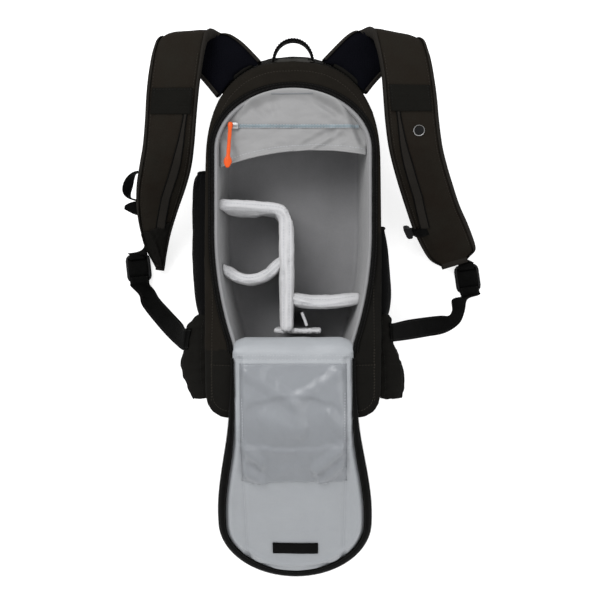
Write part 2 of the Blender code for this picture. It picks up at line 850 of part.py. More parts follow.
def build_side_pocket(name, side, length, base, rows):
    """Skin from the mouth down, its outer face bulging away from the body."""
    y_top = length - base
    across = 8
    squareness = 0.7
    sections = []
    for share, bulge in rows:
        y = y_top - length * share
        outer, inner = [], []
        for step in range(across + 1):
            angle = math.pi * step / across
            z = mix(SIDE_POCKET_LOW, SIDE_POCKET_HIGH, (1 - math.cos(angle)) / 2)
            room = SIDE_POCKET_BULGE * bulge * math.sin(angle) ** squareness
            x = HALF_BODY + GAP + room
            inner.append(Vector((side * x, y, z)))
            outer.append(Vector((side * (x + SIDE_POCKET_WALL), y, z)))
        sections.append(outer + inner[::-1])
    loft(name, sections, MESH_CLOTH)


# Wings: padded flaps at the low corners that carry the low webbing

# Share of the length from the top, share of the reach
LEFT_WING_ROWS = (
    (0.00, 0.24),
    (0.14, 0.66),
    (0.44, 0.79),
    (0.58, 0.87),
    (0.75, 0.78),
    (0.92, 0.58),
    (1.00, 0.42),
)
RIGHT_WING_ROWS = (
    (0.00, 0.30),
    (0.08, 0.41),
    (0.34, 0.45),
    (0.50, 0.66),
    (0.66, 0.78),
    (0.86, 0.80),
    (1.00, 0.70),
)


def wing_point(side, rows, share, out, height):
    """Point on a wing: out from the root, 0, to its outer edge, 1, and a height above its middle."""
    for (low, low_reach), (high, high_reach) in zip(rows, rows[1:]):
        if low <= share <= high:
            reach = mix(low_reach, high_reach, (share - low) / (high - low)) * WING_REACH
            break
    along_y = BODY_BOTTOM + WING_BASE + WING_LENGTH * (1 - share)
    run = reach * out
    drop = WING_DROP * (run / WING_REACH) ** WING_DROP_POWER
    z = BODY_DEPTH - WING_ROOT_DEPTH - drop + height
    return Vector((side * (HALF_BODY + GAP + run), along_y, z))


def build_wing(name, side, rows):
    half = WING_THICKNESS / 2
    outs = (0.0, 0.35, 0.7, 0.93)
    sections = []
    for share, _ in rows:
        over = [wing_point(side, rows, share, out, half) for out in outs]
        under = [wing_point(side, rows, share, out, -half) for out in outs]
        edge = [wing_point(side, rows, share, 1.0, half * height) for height in (0.3, -0.3)]
        sections.append(over + edge + under[::-1])
    loft(name, sections, DARK_CLOTH)


def build_haul_handle(envelope):
    """Webbing loop that stands out of the top end, its width upright."""
    z_low = BODY_DEPTH - HANDLE_DEPTH_BELOW_BACK - HANDLE_WIDTH / 2
    z_high = z_low + HANDLE_WIDTH
    root = BODY_TOP - TOP_SLOPE
    sections = []
    steps = 12
    squareness = 0.8
    for step in range(steps + 1):
        angle = math.pi * step / steps
        spread = math.cos(angle)
        rise = math.sin(angle) ** squareness
        outer = (HANDLE_SPAN / 2 * spread, root + HANDLE_REACH * rise)
        inner = ((HANDLE_SPAN / 2 - HANDLE_THICKNESS) * spread,
                 root + (HANDLE_REACH - HANDLE_THICKNESS) * rise)
        sections.append([(*outer, z_low), (*inner, z_low), (*inner, z_high), (*outer, z_high)])
    boolean(loft("haul_handle", sections, BLACK_TAPE), envelope, "DIFFERENCE")


# Shoulder straps: flat padded bands that leave the top corners, curl over and lie beside the body

# Along the strap: x and y from its root as shares of the reach (x outwards), height as a share of
# the root's height, the direction of its width in degrees, its width as a share of the strap's
LEFT_STRAP = (
    (-0.035, -0.045, 1.01, 33, 1.09),
    (0.008, 0.005, 1.00, 33, 1.09),
    (0.049, 0.054, 0.97, 33, 1.08),
    (0.091, 0.100, 0.94, 32, 1.07),
    (0.132, 0.135, 0.91, 30, 1.06),
    (0.164, 0.156, 0.89, 26, 1.05),
    (0.194, 0.170, 0.89, 21, 1.03),
    (0.216, 0.176, 0.93, 17, 1.03),
    (0.226, 0.171, 1.02, 15, 1.02),
    (0.239, 0.152, 1.11, 14, 1.02),
    (0.250, 0.121, 1.15, 13, 1.03),
    (0.260, 0.072, 1.17, 9, 1.01),
    (0.271, 0.004, 1.16, 2, 0.98),
    (0.280, -0.070, 1.13, 0, 0.97),
    (0.289, -0.155, 1.06, 0, 0.96),
    (0.301, -0.251, 0.97, 0, 0.97),
    (0.319, -0.331, 0.84, -2, 0.99),
    (0.344, -0.411, 0.67, -2, 0.95),
    (0.367, -0.493, 0.48, -1, 0.82),
    (0.382, -0.586, 0.30, -4, 0.61),
    (0.382, -0.669, 0.16, -6, 0.39),
    (0.372, -0.735, 0.10, -7, 0.18),
)
RIGHT_STRAP = (
    (-0.048, -0.040, 1.01, 32, 1.07),
    (-0.009, 0.009, 1.00, 32, 1.07),
    (0.030, 0.056, 0.97, 32, 1.05),
    (0.070, 0.100, 0.94, 31, 1.05),
    (0.108, 0.139, 0.91, 28, 1.06),
    (0.141, 0.167, 0.89, 25, 1.05),
    (0.171, 0.182, 0.89, 20, 1.03),
    (0.194, 0.188, 0.93, 15, 1.01),
    (0.205, 0.183, 1.02, 12, 0.99),
    (0.219, 0.165, 1.11, 11, 1.01),
    (0.229, 0.135, 1.15, 10, 1.01),
    (0.242, 0.086, 1.17, 6, 0.99),
    (0.255, 0.012, 1.16, 2, 0.98),
    (0.265, -0.070, 1.13, 0, 1.00),
    (0.275, -0.155, 1.06, 0, 1.01),
    (0.291, -0.251, 0.97, 0, 1.02),
    (0.315, -0.329, 0.84, -3, 1.02),
    (0.345, -0.408, 0.70, -4, 1.03),
    (0.380, -0.493, 0.55, -5, 1.04),
    (0.419, -0.571, 0.39, -6, 1.08),
    (0.460, -0.647, 0.23, -6, 1.05),
    (0.481, -0.686, 0.15, -13, 0.91),
    (0.489, -0.716, 0.12, -17, 0.56),
)
# Section: share of the half width, share of the half thickness
STRAP_SECTION = (
    (-1.00, 0.00), (-0.95, 0.75), (-0.82, 1.00), (-0.40, 1.00), (0.00, 1.00), (0.40, 1.00), (0.82, 1.00),
    (0.95, 0.75), (1.00, 0.00), (0.95, -0.75), (0.82, -1.00), (0.00, -1.00), (-0.82, -1.00), (-0.95, -0.75),
)
# Sewn webbing on a strap: share of its length, place across as a share of the half width
LEFT_RAIL = ((0.0, -0.58), (0.35, -0.42), (0.7, -0.28), (1.0, -0.30))
RIGHT_RAIL = ((0.0, -0.50), (0.35, -0.42), (0.7, -0.42), (1.0, -0.55))


def strap_root(side):
    """Middle of the line where a strap leaves the top corner of the body."""
    share = STRAP_ROOT_SPREAD / HALF_BODY
    rise = TOP_ARCH_HEIGHT - TOP_SLOPE
    y = BODY_TOP - TOP_ARCH_HEIGHT + rise * (1 - share ** TOP_ARCH_POWER) ** (1 / TOP_ARCH_POWER)
    return Vector((side * STRAP_ROOT_SPREAD, y - STRAP_ROOT_TUCK, BODY_DEPTH - STRAP_ROOT_DEPTH))


def strap_frames(side, table):
    """Stations of a strap: centre, width direction (outwards), normal, half width, distance along."""
    root = strap_root(side)
    rows = smooth_rows(table, 2)
    centres = []
    for x_share, y_share, height_share, _, _ in rows:
        shift = Vector((side * x_share * STRAP_REACH, y_share * STRAP_REACH, root.z * (height_share - 1)))
        centres.append(root + shift)
    frames = []
    along = 0.0
    for index, row in enumerate(rows):
        ahead = centres[min(len(rows) - 1, index + 1)]
        behind = centres[max(0, index - 1)]
        turn = math.radians(row[3])
        across = Vector((math.cos(turn) * side, -math.sin(turn), 0.0))
        normal = (ahead - behind).cross(across).normalized() * side
        if index:
            along += (centres[index] - centres[index - 1]).length
        frames.append((centres[index], across, normal, STRAP_WIDTH / 2 * row[4], along))
    return frames


def strap_point(frame, across_share, height):
    centre, across, normal, half, _ = frame
    return centre + across * half * across_share + normal * height


def frame_at(frames, along):
    """Station at a distance along a strap, read between its two neighbours."""
    for low, high in zip(frames, frames[1:]):
        if along <= high[4]:
            share = (along - low[4]) / (high[4] - low[4])
            return tuple(a + (b - a) * share for a, b in zip(low, high))
    return frames[-1]


def frames_between(frames, start, end):
    inner = [frame for frame in frames if start < frame[4] < end]
    return [frame_at(frames, start)] + inner + [frame_at(frames, end)]


def row_value(rows, share):
    for (low, a), (high, b) in zip(rows, rows[1:]):
        if share <= high:
            return mix(a, b, (share - low) / (high - low))
    return rows[-1][1]


def build_strap(name, frames, envelope):
    sections = []
    for frame in frames:
        sections.append([strap_point(frame, u, h * STRAP_THICKNESS / 2) for u, h in STRAP_SECTION])
    return boolean(loft(name, sections, BROWN_CLOTH), envelope, "DIFFERENCE")


def sewn_strip(name, frames, start, end, edges_at, thickness, finish):
    """Thin strip on a strap's outer face; edges_at gives its two edges as shares of the half width."""
    low = STRAP_THICKNESS / 2 + 2 * GAP
    sections = []
    for frame in frames_between(frames, start, end):
        near, far = edges_at((frame[4] - start) / (end - start), frame[3])
        corners = ((near, low), (far, low), (far, low + thickness), (near, low + thickness))
        sections.append([strap_point(frame, across, height) for across, height in corners])
    loft(name, sections, finish)


def build_strap_trim(suffix, frames, rail):
    def patch_edges(_, half):
        return -PATCH_WIDTH / 2 / half, PATCH_WIDTH / 2 / half

    def rail_edges(share, half):
        middle = row_value(rail, share)
        return middle - RAIL_WIDTH / 2 / half, middle + RAIL_WIDTH / 2 / half

    patch_end = PATCH_START + PATCH_LENGTH
    sewn_strip("strap_patch_" + suffix, frames, PATCH_START, patch_end,
               patch_edges, PATCH_THICKNESS, DARK_CLOTH)
    rail_start = patch_end + GAP
    sewn_strip("strap_rail_" + suffix, frames, rail_start, rail_start + RAIL_LENGTH,
               rail_edges, RAIL_THICKNESS, BLACK_TAPE)


def turned_disc(name, place, across, normal, profile, finish):
    """Round part on a face: profile rows are (radius, height)."""
    other = normal.cross(across).normalized()
    along = other.cross(normal).normalized()
    sides = 16
    sections = []
    for radius, height in profile:
        sections.append([
            place + normal * height + along * radius * math.cos(2 * math.pi * k / sides)
            + other * radius * math.sin(2 * math.pi * k / sides)
            for k in range(sides)
        ])
    loft(name, sections, finish)


def build_strap_badge(frames):
    """Plain domed stud on the right strap."""
    frame = frame_at(frames, BADGE_ALONG)
    base = STRAP_THICKNESS / 2 + 2 * GAP
    place = strap_point(frame, BADGE_ACROSS / frame[3], 0.0)
    profile = ((BADGE_RADIUS, base), (BADGE_RADIUS, base + BADGE_HEIGHT * 0.6),
               (BADGE_RADIUS * 0.8, base + BADGE_HEIGHT), (BADGE_RADIUS * 0.6, base + BADGE_HEIGHT * 0.7))
    turned_disc("strap_badge", place, frame[1], frame[2], profile, METAL)


# Ladder locks: flat buckles with two slots, lying flat near the ground at the strap ends

# Place of a lock's centre from the strap's end, outwards and down, as shares of the lock's length,
# and the turn of its long axis in degrees
LEFT_LOCK = (0.78, 0.06, -6)
RIGHT_LOCK = (0.50, 0.58, 8)


def lock_frame(side, frames, place):
    """Centre, bar direction and axis (towards the low webbing) of a ladder lock."""
    end = frames[-1][0]
    outward, downward, turn = place
    centre = Vector((end.x + side * outward * LOCK_LENGTH, end.y - downward * LOCK_LENGTH,
                     GROUND_GAP + LOCK_THICKNESS * 0.5 + LOCK_RISE))
    angle = math.radians(turn) * side
    axis = Vector((math.sin(angle), -math.cos(angle), 0.0))
    bar = Vector((math.cos(angle), math.sin(angle), 0.0)) * side
    return centre, bar, axis


def lock_point(frame, out, along, up):
    centre, bar, axis = frame
    return centre + bar * out + axis * along + Vector((0, 0, up))


def plate_rings(frame, half_out, half_along, corner, levels):
    """Rounded rectangle rings at (height, inset) levels."""
    rings = []
    for up, inset in levels:
        ring = []
        for quadrant in range(4):
            for step in range(4):
                angle = math.radians(90) * (quadrant + step / 3)
                sign_out = 1 if quadrant in (0, 3) else -1
                sign_along = 1 if quadrant in (0, 1) else -1
                out = sign_out * (half_out - corner) + (corner - inset) * math.cos(angle)
                along = sign_along * (half_along - corner) + (corner - inset) * math.sin(angle)
                ring.append(lock_point(frame, out, along, up))
        rings.append(ring)
    return rings


def lock_slot_middle(which):
    """Distance of a slot's middle from the lock's centre along its axis; which is -1 or 1."""
    slot = (LOCK_LENGTH - 3 * LOCK_BAR) / 2
    return which * (LOCK_BAR + slot) / 2


def build_ladder_lock(suffix, frame):
    half = LOCK_THICKNESS / 2
    soft = LOCK_THICKNESS * 0.25
    levels = ((-half, soft), (-half + soft, 0.0), (half - soft, 0.0), (half, soft))
    rings = plate_rings(frame, LOCK_WIDTH / 2, LOCK_LENGTH / 2, LOCK_CORNER, levels)
    item = loft("ladder_lock_" + suffix, rings, BLACK_PLASTIC)
    slot = (LOCK_LENGTH - 3 * LOCK_BAR) / 2
    half_out = LOCK_WIDTH / 2 - LOCK_RAIL
    for which in (-1, 1):
        middle = lock_slot_middle(which)
        corners = [(-half_out, middle - slot / 2), (half_out, middle - slot / 2),
                   (half_out, middle + slot / 2), (-half_out, middle + slot / 2)]
        rings = [[lock_point(frame, out, along, up) for out, along in corners]
                 for up in (-LOCK_THICKNESS, LOCK_THICKNESS)]
        cutter = as_cutter(loft("lock_slot_" + suffix + ("_low" if which > 0 else "_high"), rings, None))
        boolean(item, cutter, "DIFFERENCE")


def split_short(item):
    """Split the faces over their shorter diagonals, alike on both sides of a twisted band."""
    mesh_data = bmesh.new()
    mesh_data.from_mesh(item.data)
    bmesh.ops.triangulate(mesh_data, faces=mesh_data.faces, quad_method="SHORT_EDGE")
    mesh_data.to_mesh(item.data)
    mesh_data.free()
    return item


def ribbon(name, rows, thickness, finish):
    """Flat band through rows of (centre, half width vector)."""
    sections = []
    for index, (centre, half) in enumerate(rows):
        ahead = rows[min(len(rows) - 1, index + 1)][0]
        behind = rows[max(0, index - 1)][0]
        normal = (ahead - behind).cross(half).normalized() * thickness / 2
        sections.append([centre - half - normal, centre + half - normal,
                         centre + half + normal, centre - half + normal])
    return split_short(loft(name, sections, finish))


def over_bar(frame, which, width, bar_edge, outside):
    """Rows of a band from inside a slot, up over the outer bar and away; which is -1 or 1."""
    lift = LOCK_THICKNESS / 2 + GAP + WEBBING_THICKNESS / 2
    half = frame[1] * width / 2
    slot_in = bar_edge - LOCK_BAR - GAP - WEBBING_THICKNESS
    return [
        (lock_point(frame, 0, which * slot_in, 0.0), half),
        (lock_point(frame, 0, which * slot_in, lift), half),
        (lock_point(frame, 0, which * (bar_edge - LOCK_BAR), lift + WEBBING_THICKNESS * 0.5), half),
        (lock_point(frame, 0, which * (bar_edge + GAP), lift + GAP), half),
        (lock_point(frame, 0, which * (bar_edge + outside), lift * 0.5), half),
    ]


# Where a stub leaves its strap: distance back from the strap's end as a share of the stub's root,
# place across as a share of the half width, and its direction as shares of outwards and onwards
LEFT_STUB = (1.0, 1.0, 1.0, 0.0)
RIGHT_STUB = (0.0, 0.50, 0.0, 1.0)


def build_strap_stub(suffix, side, frames, frame, place):
    """Webbing from the strap's edge near its end to the lock's high bar."""
    back, across_share, outwards, onwards = place
    rows = over_bar(frame, -1, STUB_WIDTH, LOCK_LENGTH / 2, STUB_SLACK)
    root = frame_at(frames, frames[-1][4] - back * STUB_ROOT)
    tangent = (frames[-1][0] - frames[-2][0]).normalized()
    out = root[1] * outwards + tangent * onwards
    start = strap_point(root, across_share, -STRAP_THICKNESS * 0.25 * onwards)
    width = root[1] if onwards else tangent
    half = width.normalized() * STUB_WIDTH * 0.4
    rows.append((start + out * (WEBBING_THICKNESS + 2 * GAP), half))
    ribbon("strap_stub_" + suffix, rows, WEBBING_THICKNESS, BLACK_TAPE)


# Low webbing between the lock and the wing: shares of the way in x, y and z, the turn of its
# width in degrees and the tilt of its width in degrees
LEFT_WEBBING = (
    (0.14, 0.14, 0.02, -17, 40),
    (0.23, 0.32, 0.10, -22, 22),
    (0.52, 0.61, 0.35, -39, 12),
    (0.80, 0.85, 0.70, -48, 4),
)
RIGHT_WEBBING = (
    (0.13, 0.10, 0.02, 4, 44),
    (0.15, 0.43, 0.045, -6, 58),
    (0.21, 0.68, 0.10, -40, 54),
    (0.36, 0.81, 0.22, -76, 26),
    (0.59, 0.88, 0.46, -84, 10),
    (0.81, 0.94, 0.76, -88, 4),
)


# Sections between two rows of the webbing's table
WEBBING_STEPS = 3
# Share of the wing's straight edge that the webbing's half width takes up
WEBBING_SEAT_SHARE = 0.42


def build_lower_webbing(suffix, side, frame, table, wing_rows):
    rows = over_bar(frame, 1, WEBBING_WIDTH, LOCK_LENGTH / 2, LOCK_BAR)
    start = rows[-1][0]
    top = wing_point(side, wing_rows, wing_rows[1][0], 1.0, 0.0)
    low = wing_point(side, wing_rows, wing_rows[2][0], 1.0, 0.0)
    end = top.lerp(low, 0.5) + Vector((side * (WEBBING_THICKNESS / 2 + 2 * GAP), 0, 0))
    free = [(*start, *rows[-1][1])]
    for x_share, y_share, z_share, turn, tilt in table:
        shares = (x_share, y_share, z_share)
        place = Vector([mix(a, b, share) for a, b, share in zip(start, end, shares)])
        turn, tilt = math.radians(turn), math.radians(tilt)
        level = Vector((side * math.cos(turn), math.sin(turn), 0.0))
        half = level * math.cos(tilt) + Vector((0, 0, math.sin(tilt)))
        free.append((*place, *(half * WEBBING_WIDTH / 2)))
    free.append((*end, *((low - top) * WEBBING_SEAT_SHARE)))
    rows += [(Vector(row[:3]), Vector(row[3:])) for row in smooth_rows(free, WEBBING_STEPS)[1:]]
    ribbon("lower_webbing_" + suffix, rows, WEBBING_THICKNESS, BLACK_TAPE)


# Loop in plan: share of its reach outwards, share of its span along the strap
STERNUM_LOOP = (
    (0.00, 0.00),
    (0.42, 0.06),
    (0.75, 0.24),
    (0.95, 0.50),
    (1.00, 0.75),
    (0.72, 0.92),
    (0.00, 1.00),
)


def build_sternum_loop(frames):
    """Webbing loop that stands out of the left strap's outer edge, and its short tail."""
    high = frame_at(frames, STERNUM_ALONG)
    low = frame_at(frames, STERNUM_ALONG + STERNUM_SPAN)
    start = strap_point(high, 1.0, 0.0) + high[1] * 2 * GAP
    end = strap_point(low, 1.0, 0.0) + low[1] * 2 * GAP
    rows = []
    for out, along in STERNUM_LOOP:
        place = start.lerp(end, along) + high[1] * out * STERNUM_REACH
        rows.append((place, Vector((0, 0, LOOP_WEBBING_WIDTH / 2))))
    ribbon("sternum_loop", rows, LOOP_WEBBING_THICKNESS, BLACK_TAPE)


# Tail from the strap outwards: share of its length, shift along the strap and half width as
# shares of half its width
TAIL_ROWS = (
    (0.05, 0.0, 0.80),
    (0.55, 0.0, 1.00),
    (1.00, -0.3, 0.75),
)


def direction_at(frames, along):
    """Unit vector along a strap at a distance from its root."""
    return (frame_at(frames, along + TAIL_LENGTH)[0] - frame_at(frames, along)[0]).normalized()


def build_sternum_tail(frames):
    frame = frame_at(frames, STERNUM_ALONG + STERNUM_SPAN + TAIL_WIDTH * 0.80)
    edge = strap_point(frame, 1.0, 0.0)
    half = direction_at(frames, frame[4]) * TAIL_WIDTH / 2
    rows = [(edge + frame[1] * TAIL_LENGTH * out + half * shift, half * wide)
            for out, shift, wide in TAIL_ROWS]
    ribbon("sternum_tail", rows, LOOP_WEBBING_THICKNESS, BLACK_TAPE)


# Buckle from the strap outwards: share of its length, share of its width
BUCKLE_ROWS = (
    (0.00, 0.50),
    (0.30, 0.50),
    (0.36, 0.80),
    (0.52, 1.00),
    (0.86, 1.00),
    (1.00, 0.70),
)


def build_sternum_buckle(frames):
    """Small side-release half on the right strap's inner edge."""
    frame = frame_at(frames, BUCKLE_ALONG)
    ahead = direction_at(frames, BUCKLE_ALONG)
    edge = strap_point(frame, -1.0, 0.0) - frame[1] * 2 * GAP
    rows = []
    for out, wide in BUCKLE_ROWS:
        rows.append((edge - frame[1] * out * BUCKLE_LENGTH, ahead * wide * BUCKLE_WIDTH / 2))
    ribbon("sternum_buckle", rows, BUCKLE_THICKNESS, BLACK_PLASTIC)


def build_strap_side(suffix, side, table, rail, lock_place, stub, webbing, wing_rows, envelope):
    frames = strap_frames(side, table)
    build_strap("strap_" + suffix, frames, envelope)
    build_strap_trim(suffix, frames, rail)
    lock = lock_frame(side, frames, lock_place)
    build_ladder_lock(suffix, lock)
    build_strap_stub(suffix, side, frames, lock, stub)
    build_lower_webbing(suffix, side, lock, webbing, wing_rows)
    return frames


def main():
    clear_scene()
    envelope = build_body_envelope()
    bay = build_bay_envelope()
    build_shell()
    build_back_frame()
    build_lining()
    build_rim_zipper()
    build_door_panel()
    build_door_edge()
    build_door_pocket()
    build_door_label()
    inside = [(bay, "INTERSECT")]
    beside = [(bay, "INTERSECT"), (build_main_envelope(), "DIFFERENCE")]
    build_divider("divider_main", MAIN_DIVIDER, DIVIDER_THICKNESS, DIVIDER_HEIGHT, inside)
    build_divider("divider_curved", CURVED_DIVIDER, CURVED_THICKNESS, LOW_DIVIDER_HEIGHT, beside)
    build_divider("divider_right", RIGHT_DIVIDER, DIVIDER_THICKNESS, LOW_DIVIDER_HEIGHT, beside)
    build_divider("divider_strip", STRIP, STRIP_THICKNESS, STRIP_HEIGHT, beside)
    build_divider_end_tab()
    build_inner_pocket(bay)
    build_inner_pocket_zipper()
    build_zip_slider()
    build_zip_pull()
    build_side_pocket("side_pocket_left", -1, LEFT_POCKET_LENGTH, LEFT_POCKET_BASE, LEFT_POCKET_ROWS)
    build_side_pocket("side_pocket_right", 1, RIGHT_POCKET_LENGTH, RIGHT_POCKET_BASE, RIGHT_POCKET_ROWS)
    build_wing("wing_left", -1, LEFT_WING_ROWS)
    build_wing("wing_right", 1, RIGHT_WING_ROWS)
    build_haul_handle(envelope)
    left = build_strap_side("left", -1, LEFT_STRAP, LEFT_RAIL, LEFT_LOCK, LEFT_STUB,
                            LEFT_WEBBING, LEFT_WING_ROWS, envelope)
    right = build_strap_side("right", 1, RIGHT_STRAP, RIGHT_RAIL, RIGHT_LOCK, RIGHT_STUB,
                             RIGHT_WEBBING, RIGHT_WING_ROWS, envelope)
    build_sternum_loop(left)
    build_sternum_tail(left)
    build_sternum_buckle(right)
    build_strap_badge(right)


main()
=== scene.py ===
"""Looks of the camera backpack that lies on its front with its back door folded down.

Metres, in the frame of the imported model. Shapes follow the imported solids, and cloth, seams,
stitches, zips and webbing are added on them.
"""

import json
import math

import bmesh
import bpy
import numpy as np
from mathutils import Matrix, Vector, noise
from mathutils.bvhtree import BVHTree
from mathutils.kdtree import KDTree

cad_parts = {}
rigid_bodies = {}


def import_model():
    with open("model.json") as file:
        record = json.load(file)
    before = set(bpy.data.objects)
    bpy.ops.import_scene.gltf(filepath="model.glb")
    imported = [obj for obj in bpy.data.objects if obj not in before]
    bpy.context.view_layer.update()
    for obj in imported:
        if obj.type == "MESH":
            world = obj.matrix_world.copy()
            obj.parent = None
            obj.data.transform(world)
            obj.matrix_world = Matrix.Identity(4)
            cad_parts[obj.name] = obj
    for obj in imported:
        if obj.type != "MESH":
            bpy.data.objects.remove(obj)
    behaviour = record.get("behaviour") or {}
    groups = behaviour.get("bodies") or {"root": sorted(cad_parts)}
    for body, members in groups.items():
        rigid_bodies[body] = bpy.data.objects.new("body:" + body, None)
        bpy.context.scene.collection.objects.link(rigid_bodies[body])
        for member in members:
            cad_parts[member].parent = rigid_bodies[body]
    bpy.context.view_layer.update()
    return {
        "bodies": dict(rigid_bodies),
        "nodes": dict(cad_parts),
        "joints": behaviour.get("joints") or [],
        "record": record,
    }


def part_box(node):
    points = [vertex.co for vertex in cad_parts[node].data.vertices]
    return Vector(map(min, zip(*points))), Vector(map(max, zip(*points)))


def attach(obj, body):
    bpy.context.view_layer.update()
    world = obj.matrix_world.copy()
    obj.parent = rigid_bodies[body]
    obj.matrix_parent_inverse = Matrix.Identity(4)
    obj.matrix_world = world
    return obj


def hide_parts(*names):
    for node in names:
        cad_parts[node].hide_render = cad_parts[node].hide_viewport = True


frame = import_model()
NODES = frame["nodes"]
UP = Vector((0.0, 0.0, 1.0))

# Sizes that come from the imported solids
SHELL_LOW, SHELL_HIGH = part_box("shell")
HALF_BODY = SHELL_HIGH.x
BODY_BOTTOM, BODY_TOP = SHELL_LOW.y, SHELL_HIGH.y
SHELL_TOP = SHELL_HIGH.z
BODY_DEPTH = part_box("back_frame")[1].z
LINING_LOW, LINING_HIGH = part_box("lining")
OPENING_HALF = LINING_HIGH.x
OPENING_LOW, OPENING_TOP = LINING_LOW.y, LINING_HIGH.y
OPENING_LENGTH = OPENING_TOP - OPENING_LOW

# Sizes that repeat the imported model's
GAP = 0.0003
GROUND_GAP = 0.0006
SHELL_WALL = 0.006
FRAME_ROUND = 0.009
FRONT_ROUND = 0.026
TOP_ARCH_HEIGHT = 0.141
TOP_ARCH_POWER = 2.4
TOP_SLOPE = 0.018
TOP_SLOPE_START = 0.100
BODY_CORNER = 0.030
LEAST_CORNER = 0.003
OPENING_ARCH_HEIGHT = 0.075
OPENING_TAPER = 0.023
OPENING_TAPER_START = 0.098
OPENING_TAPER_LENGTH = 0.137
OPENING_CORNER = 0.008
ZIP_TAPE_WIDTH = 0.0065
LINING_WALL = 0.0045
LINING_SLOPE = 0.008
LINING_FLOOR = 0.037
LINING_FLOOR_ROUND = 0.006
DOOR_LENGTH = 0.336
DOOR_SKEW = 0.003
DOOR_WIDTH = 0.192
DOOR_NECK_WIDTH = 0.147
DOOR_NECK_LENGTH = 0.020
DOOR_FLARE_LENGTH = 0.210
DOOR_THICKNESS = 0.010
DOOR_EDGE_WIDTH = 0.0055
DOOR_EDGE_THICKNESS = 0.0045
DOOR_BEND_RADIUS = 0.045
DOOR_POCKET_WIDTH = 0.128
DOOR_POCKET_LENGTH = 0.155
DOOR_POCKET_START = 0.006
DOOR_POCKET_LIFT = 0.002
LABEL_WIDTH = 0.055
LABEL_LENGTH = 0.015
LABEL_PLACE = 0.2765
DIVIDER_THICKNESS = 0.012
DIVIDER_HEIGHT = 0.095
CURVED_THICKNESS = 0.0096
LOW_DIVIDER_HEIGHT = 0.088
POCKET_LENGTH = 0.0745
POCKET_SAG = 0.012
POCKET_OVERRUN = 0.002
POCKET_DEPTH_BELOW_RIM = 0.006
POCKET_ZIP_WIDTH = 0.0045
POCKET_ZIP_PLACE = 0.045
SIDE_POCKET_LOW = 0.027
SIDE_POCKET_HIGH = 0.094
SIDE_POCKET_BULGE = 0.021
LEFT_POCKET_LENGTH = 0.198
RIGHT_POCKET_LENGTH = 0.122
LEFT_POCKET_BASE = 0.120
RIGHT_POCKET_BASE = 0.113
WING_THICKNESS = 0.008
WING_LENGTH = 0.104
WING_REACH = 0.040
WING_BASE = 0.020
WING_ROOT_DEPTH = 0.042
WING_DROP = 0.034
WING_DROP_POWER = 1.4
HANDLE_SPAN = 0.052
HANDLE_REACH = 0.0345
HANDLE_WIDTH = 0.022
HANDLE_THICKNESS = 0.0035
STRAP_WIDTH = 0.063
STRAP_THICKNESS = 0.011
STRAP_REACH = 0.300
STRAP_ROOT_DEPTH = 0.022
STRAP_ROOT_SPREAD = 0.0615
STRAP_ROOT_TUCK = 0.0045
RAIL_WIDTH = 0.011
RAIL_LENGTH = 0.165
PATCH_START = 0.189
PATCH_LENGTH = 0.030
PATCH_WIDTH = 0.049
BADGE_RADIUS = 0.0072
BADGE_HEIGHT = 0.0018
BADGE_ALONG = 0.243
BADGE_ACROSS = 0.0068
WEBBING_WIDTH = 0.025
WEBBING_THICKNESS = 0.0018
STUB_WIDTH = 0.020
LOCK_WIDTH = 0.032
LOCK_LENGTH = 0.037
LOCK_THICKNESS = 0.006
LOCK_BAR = 0.0045
LOCK_RAIL = 0.0035
LOCK_RISE = 0.003
STUB_ROOT = 0.022
STUB_SLACK = 0.0015
LOOP_WEBBING_THICKNESS = 0.003
LOOP_WEBBING_WIDTH = 0.016
STERNUM_ALONG = 0.300
STERNUM_SPAN = 0.046
STERNUM_REACH = 0.018
TAIL_WIDTH = 0.018
TAIL_LENGTH = 0.018
OPENING_SHOULDER = OPENING_TOP - OPENING_ARCH_HEIGHT
OPENING_WIDTH = 2 * OPENING_HALF
DOOR_SEAT_LENGTH = OPENING_LOW - BODY_BOTTOM - FRAME_ROUND


# Small tools for numbers and lines

def mix(low, high, share):
    """Value at a share of the way from low to high."""
    return low + (high - low) * share


def spread(low, high, steps):
    """Evenly spread numbers from low to high, both included."""
    return [mix(low, high, i / steps) for i in range(steps + 1)]


def smooth_share(share):
    """Share from 0 to 1 that starts and ends softly."""
    share = min(1.0, max(0.0, share))
    return share * share * (3 - 2 * share)


def bump_at(value, centre, width):
    """1 at the centre, 0 from a width away on."""
    return 1 - smooth_share(abs(value - centre) / width)


def row_value(rows, share):
    """Value at a share, read between two rows of (share, value)."""
    for (low, a), (high, b) in zip(rows, rows[1:]):
        if share <= high:
            return mix(a, b, (share - low) / (high - low))
    return rows[-1][1]


def smooth_rows(rows, steps):
    """Catmull-Rom through rows of numbers, with this many steps between two rows."""
    result = []
    for index in range(len(rows) - 1):
        before = rows[max(0, index - 1)]
        start = rows[index]
        end = rows[index + 1]
        after = rows[min(len(rows) - 1, index + 2)]
        for step in range(steps):
            t = step / steps
            result.append([
                0.5 * (2 * b + (c - a) * t + (2 * a - 5 * b + 4 * c - d) * t ** 2
                       + (3 * b - a - 3 * c + d) * t ** 3)
                for a, b, c, d in zip(before, start, end, after)
            ])
    result.append(list(rows[-1]))
    return result


def fold(point, scale, seed, octaves=3):
    """Smooth noise from -1 to 1 at a point; scale is the number of waves in a metre."""
    place = Vector(point) * scale + Vector((seed * 7.31, seed * 3.17, seed * 5.93))
    return noise.fractal(place, 1.0, 2.0, octaves)


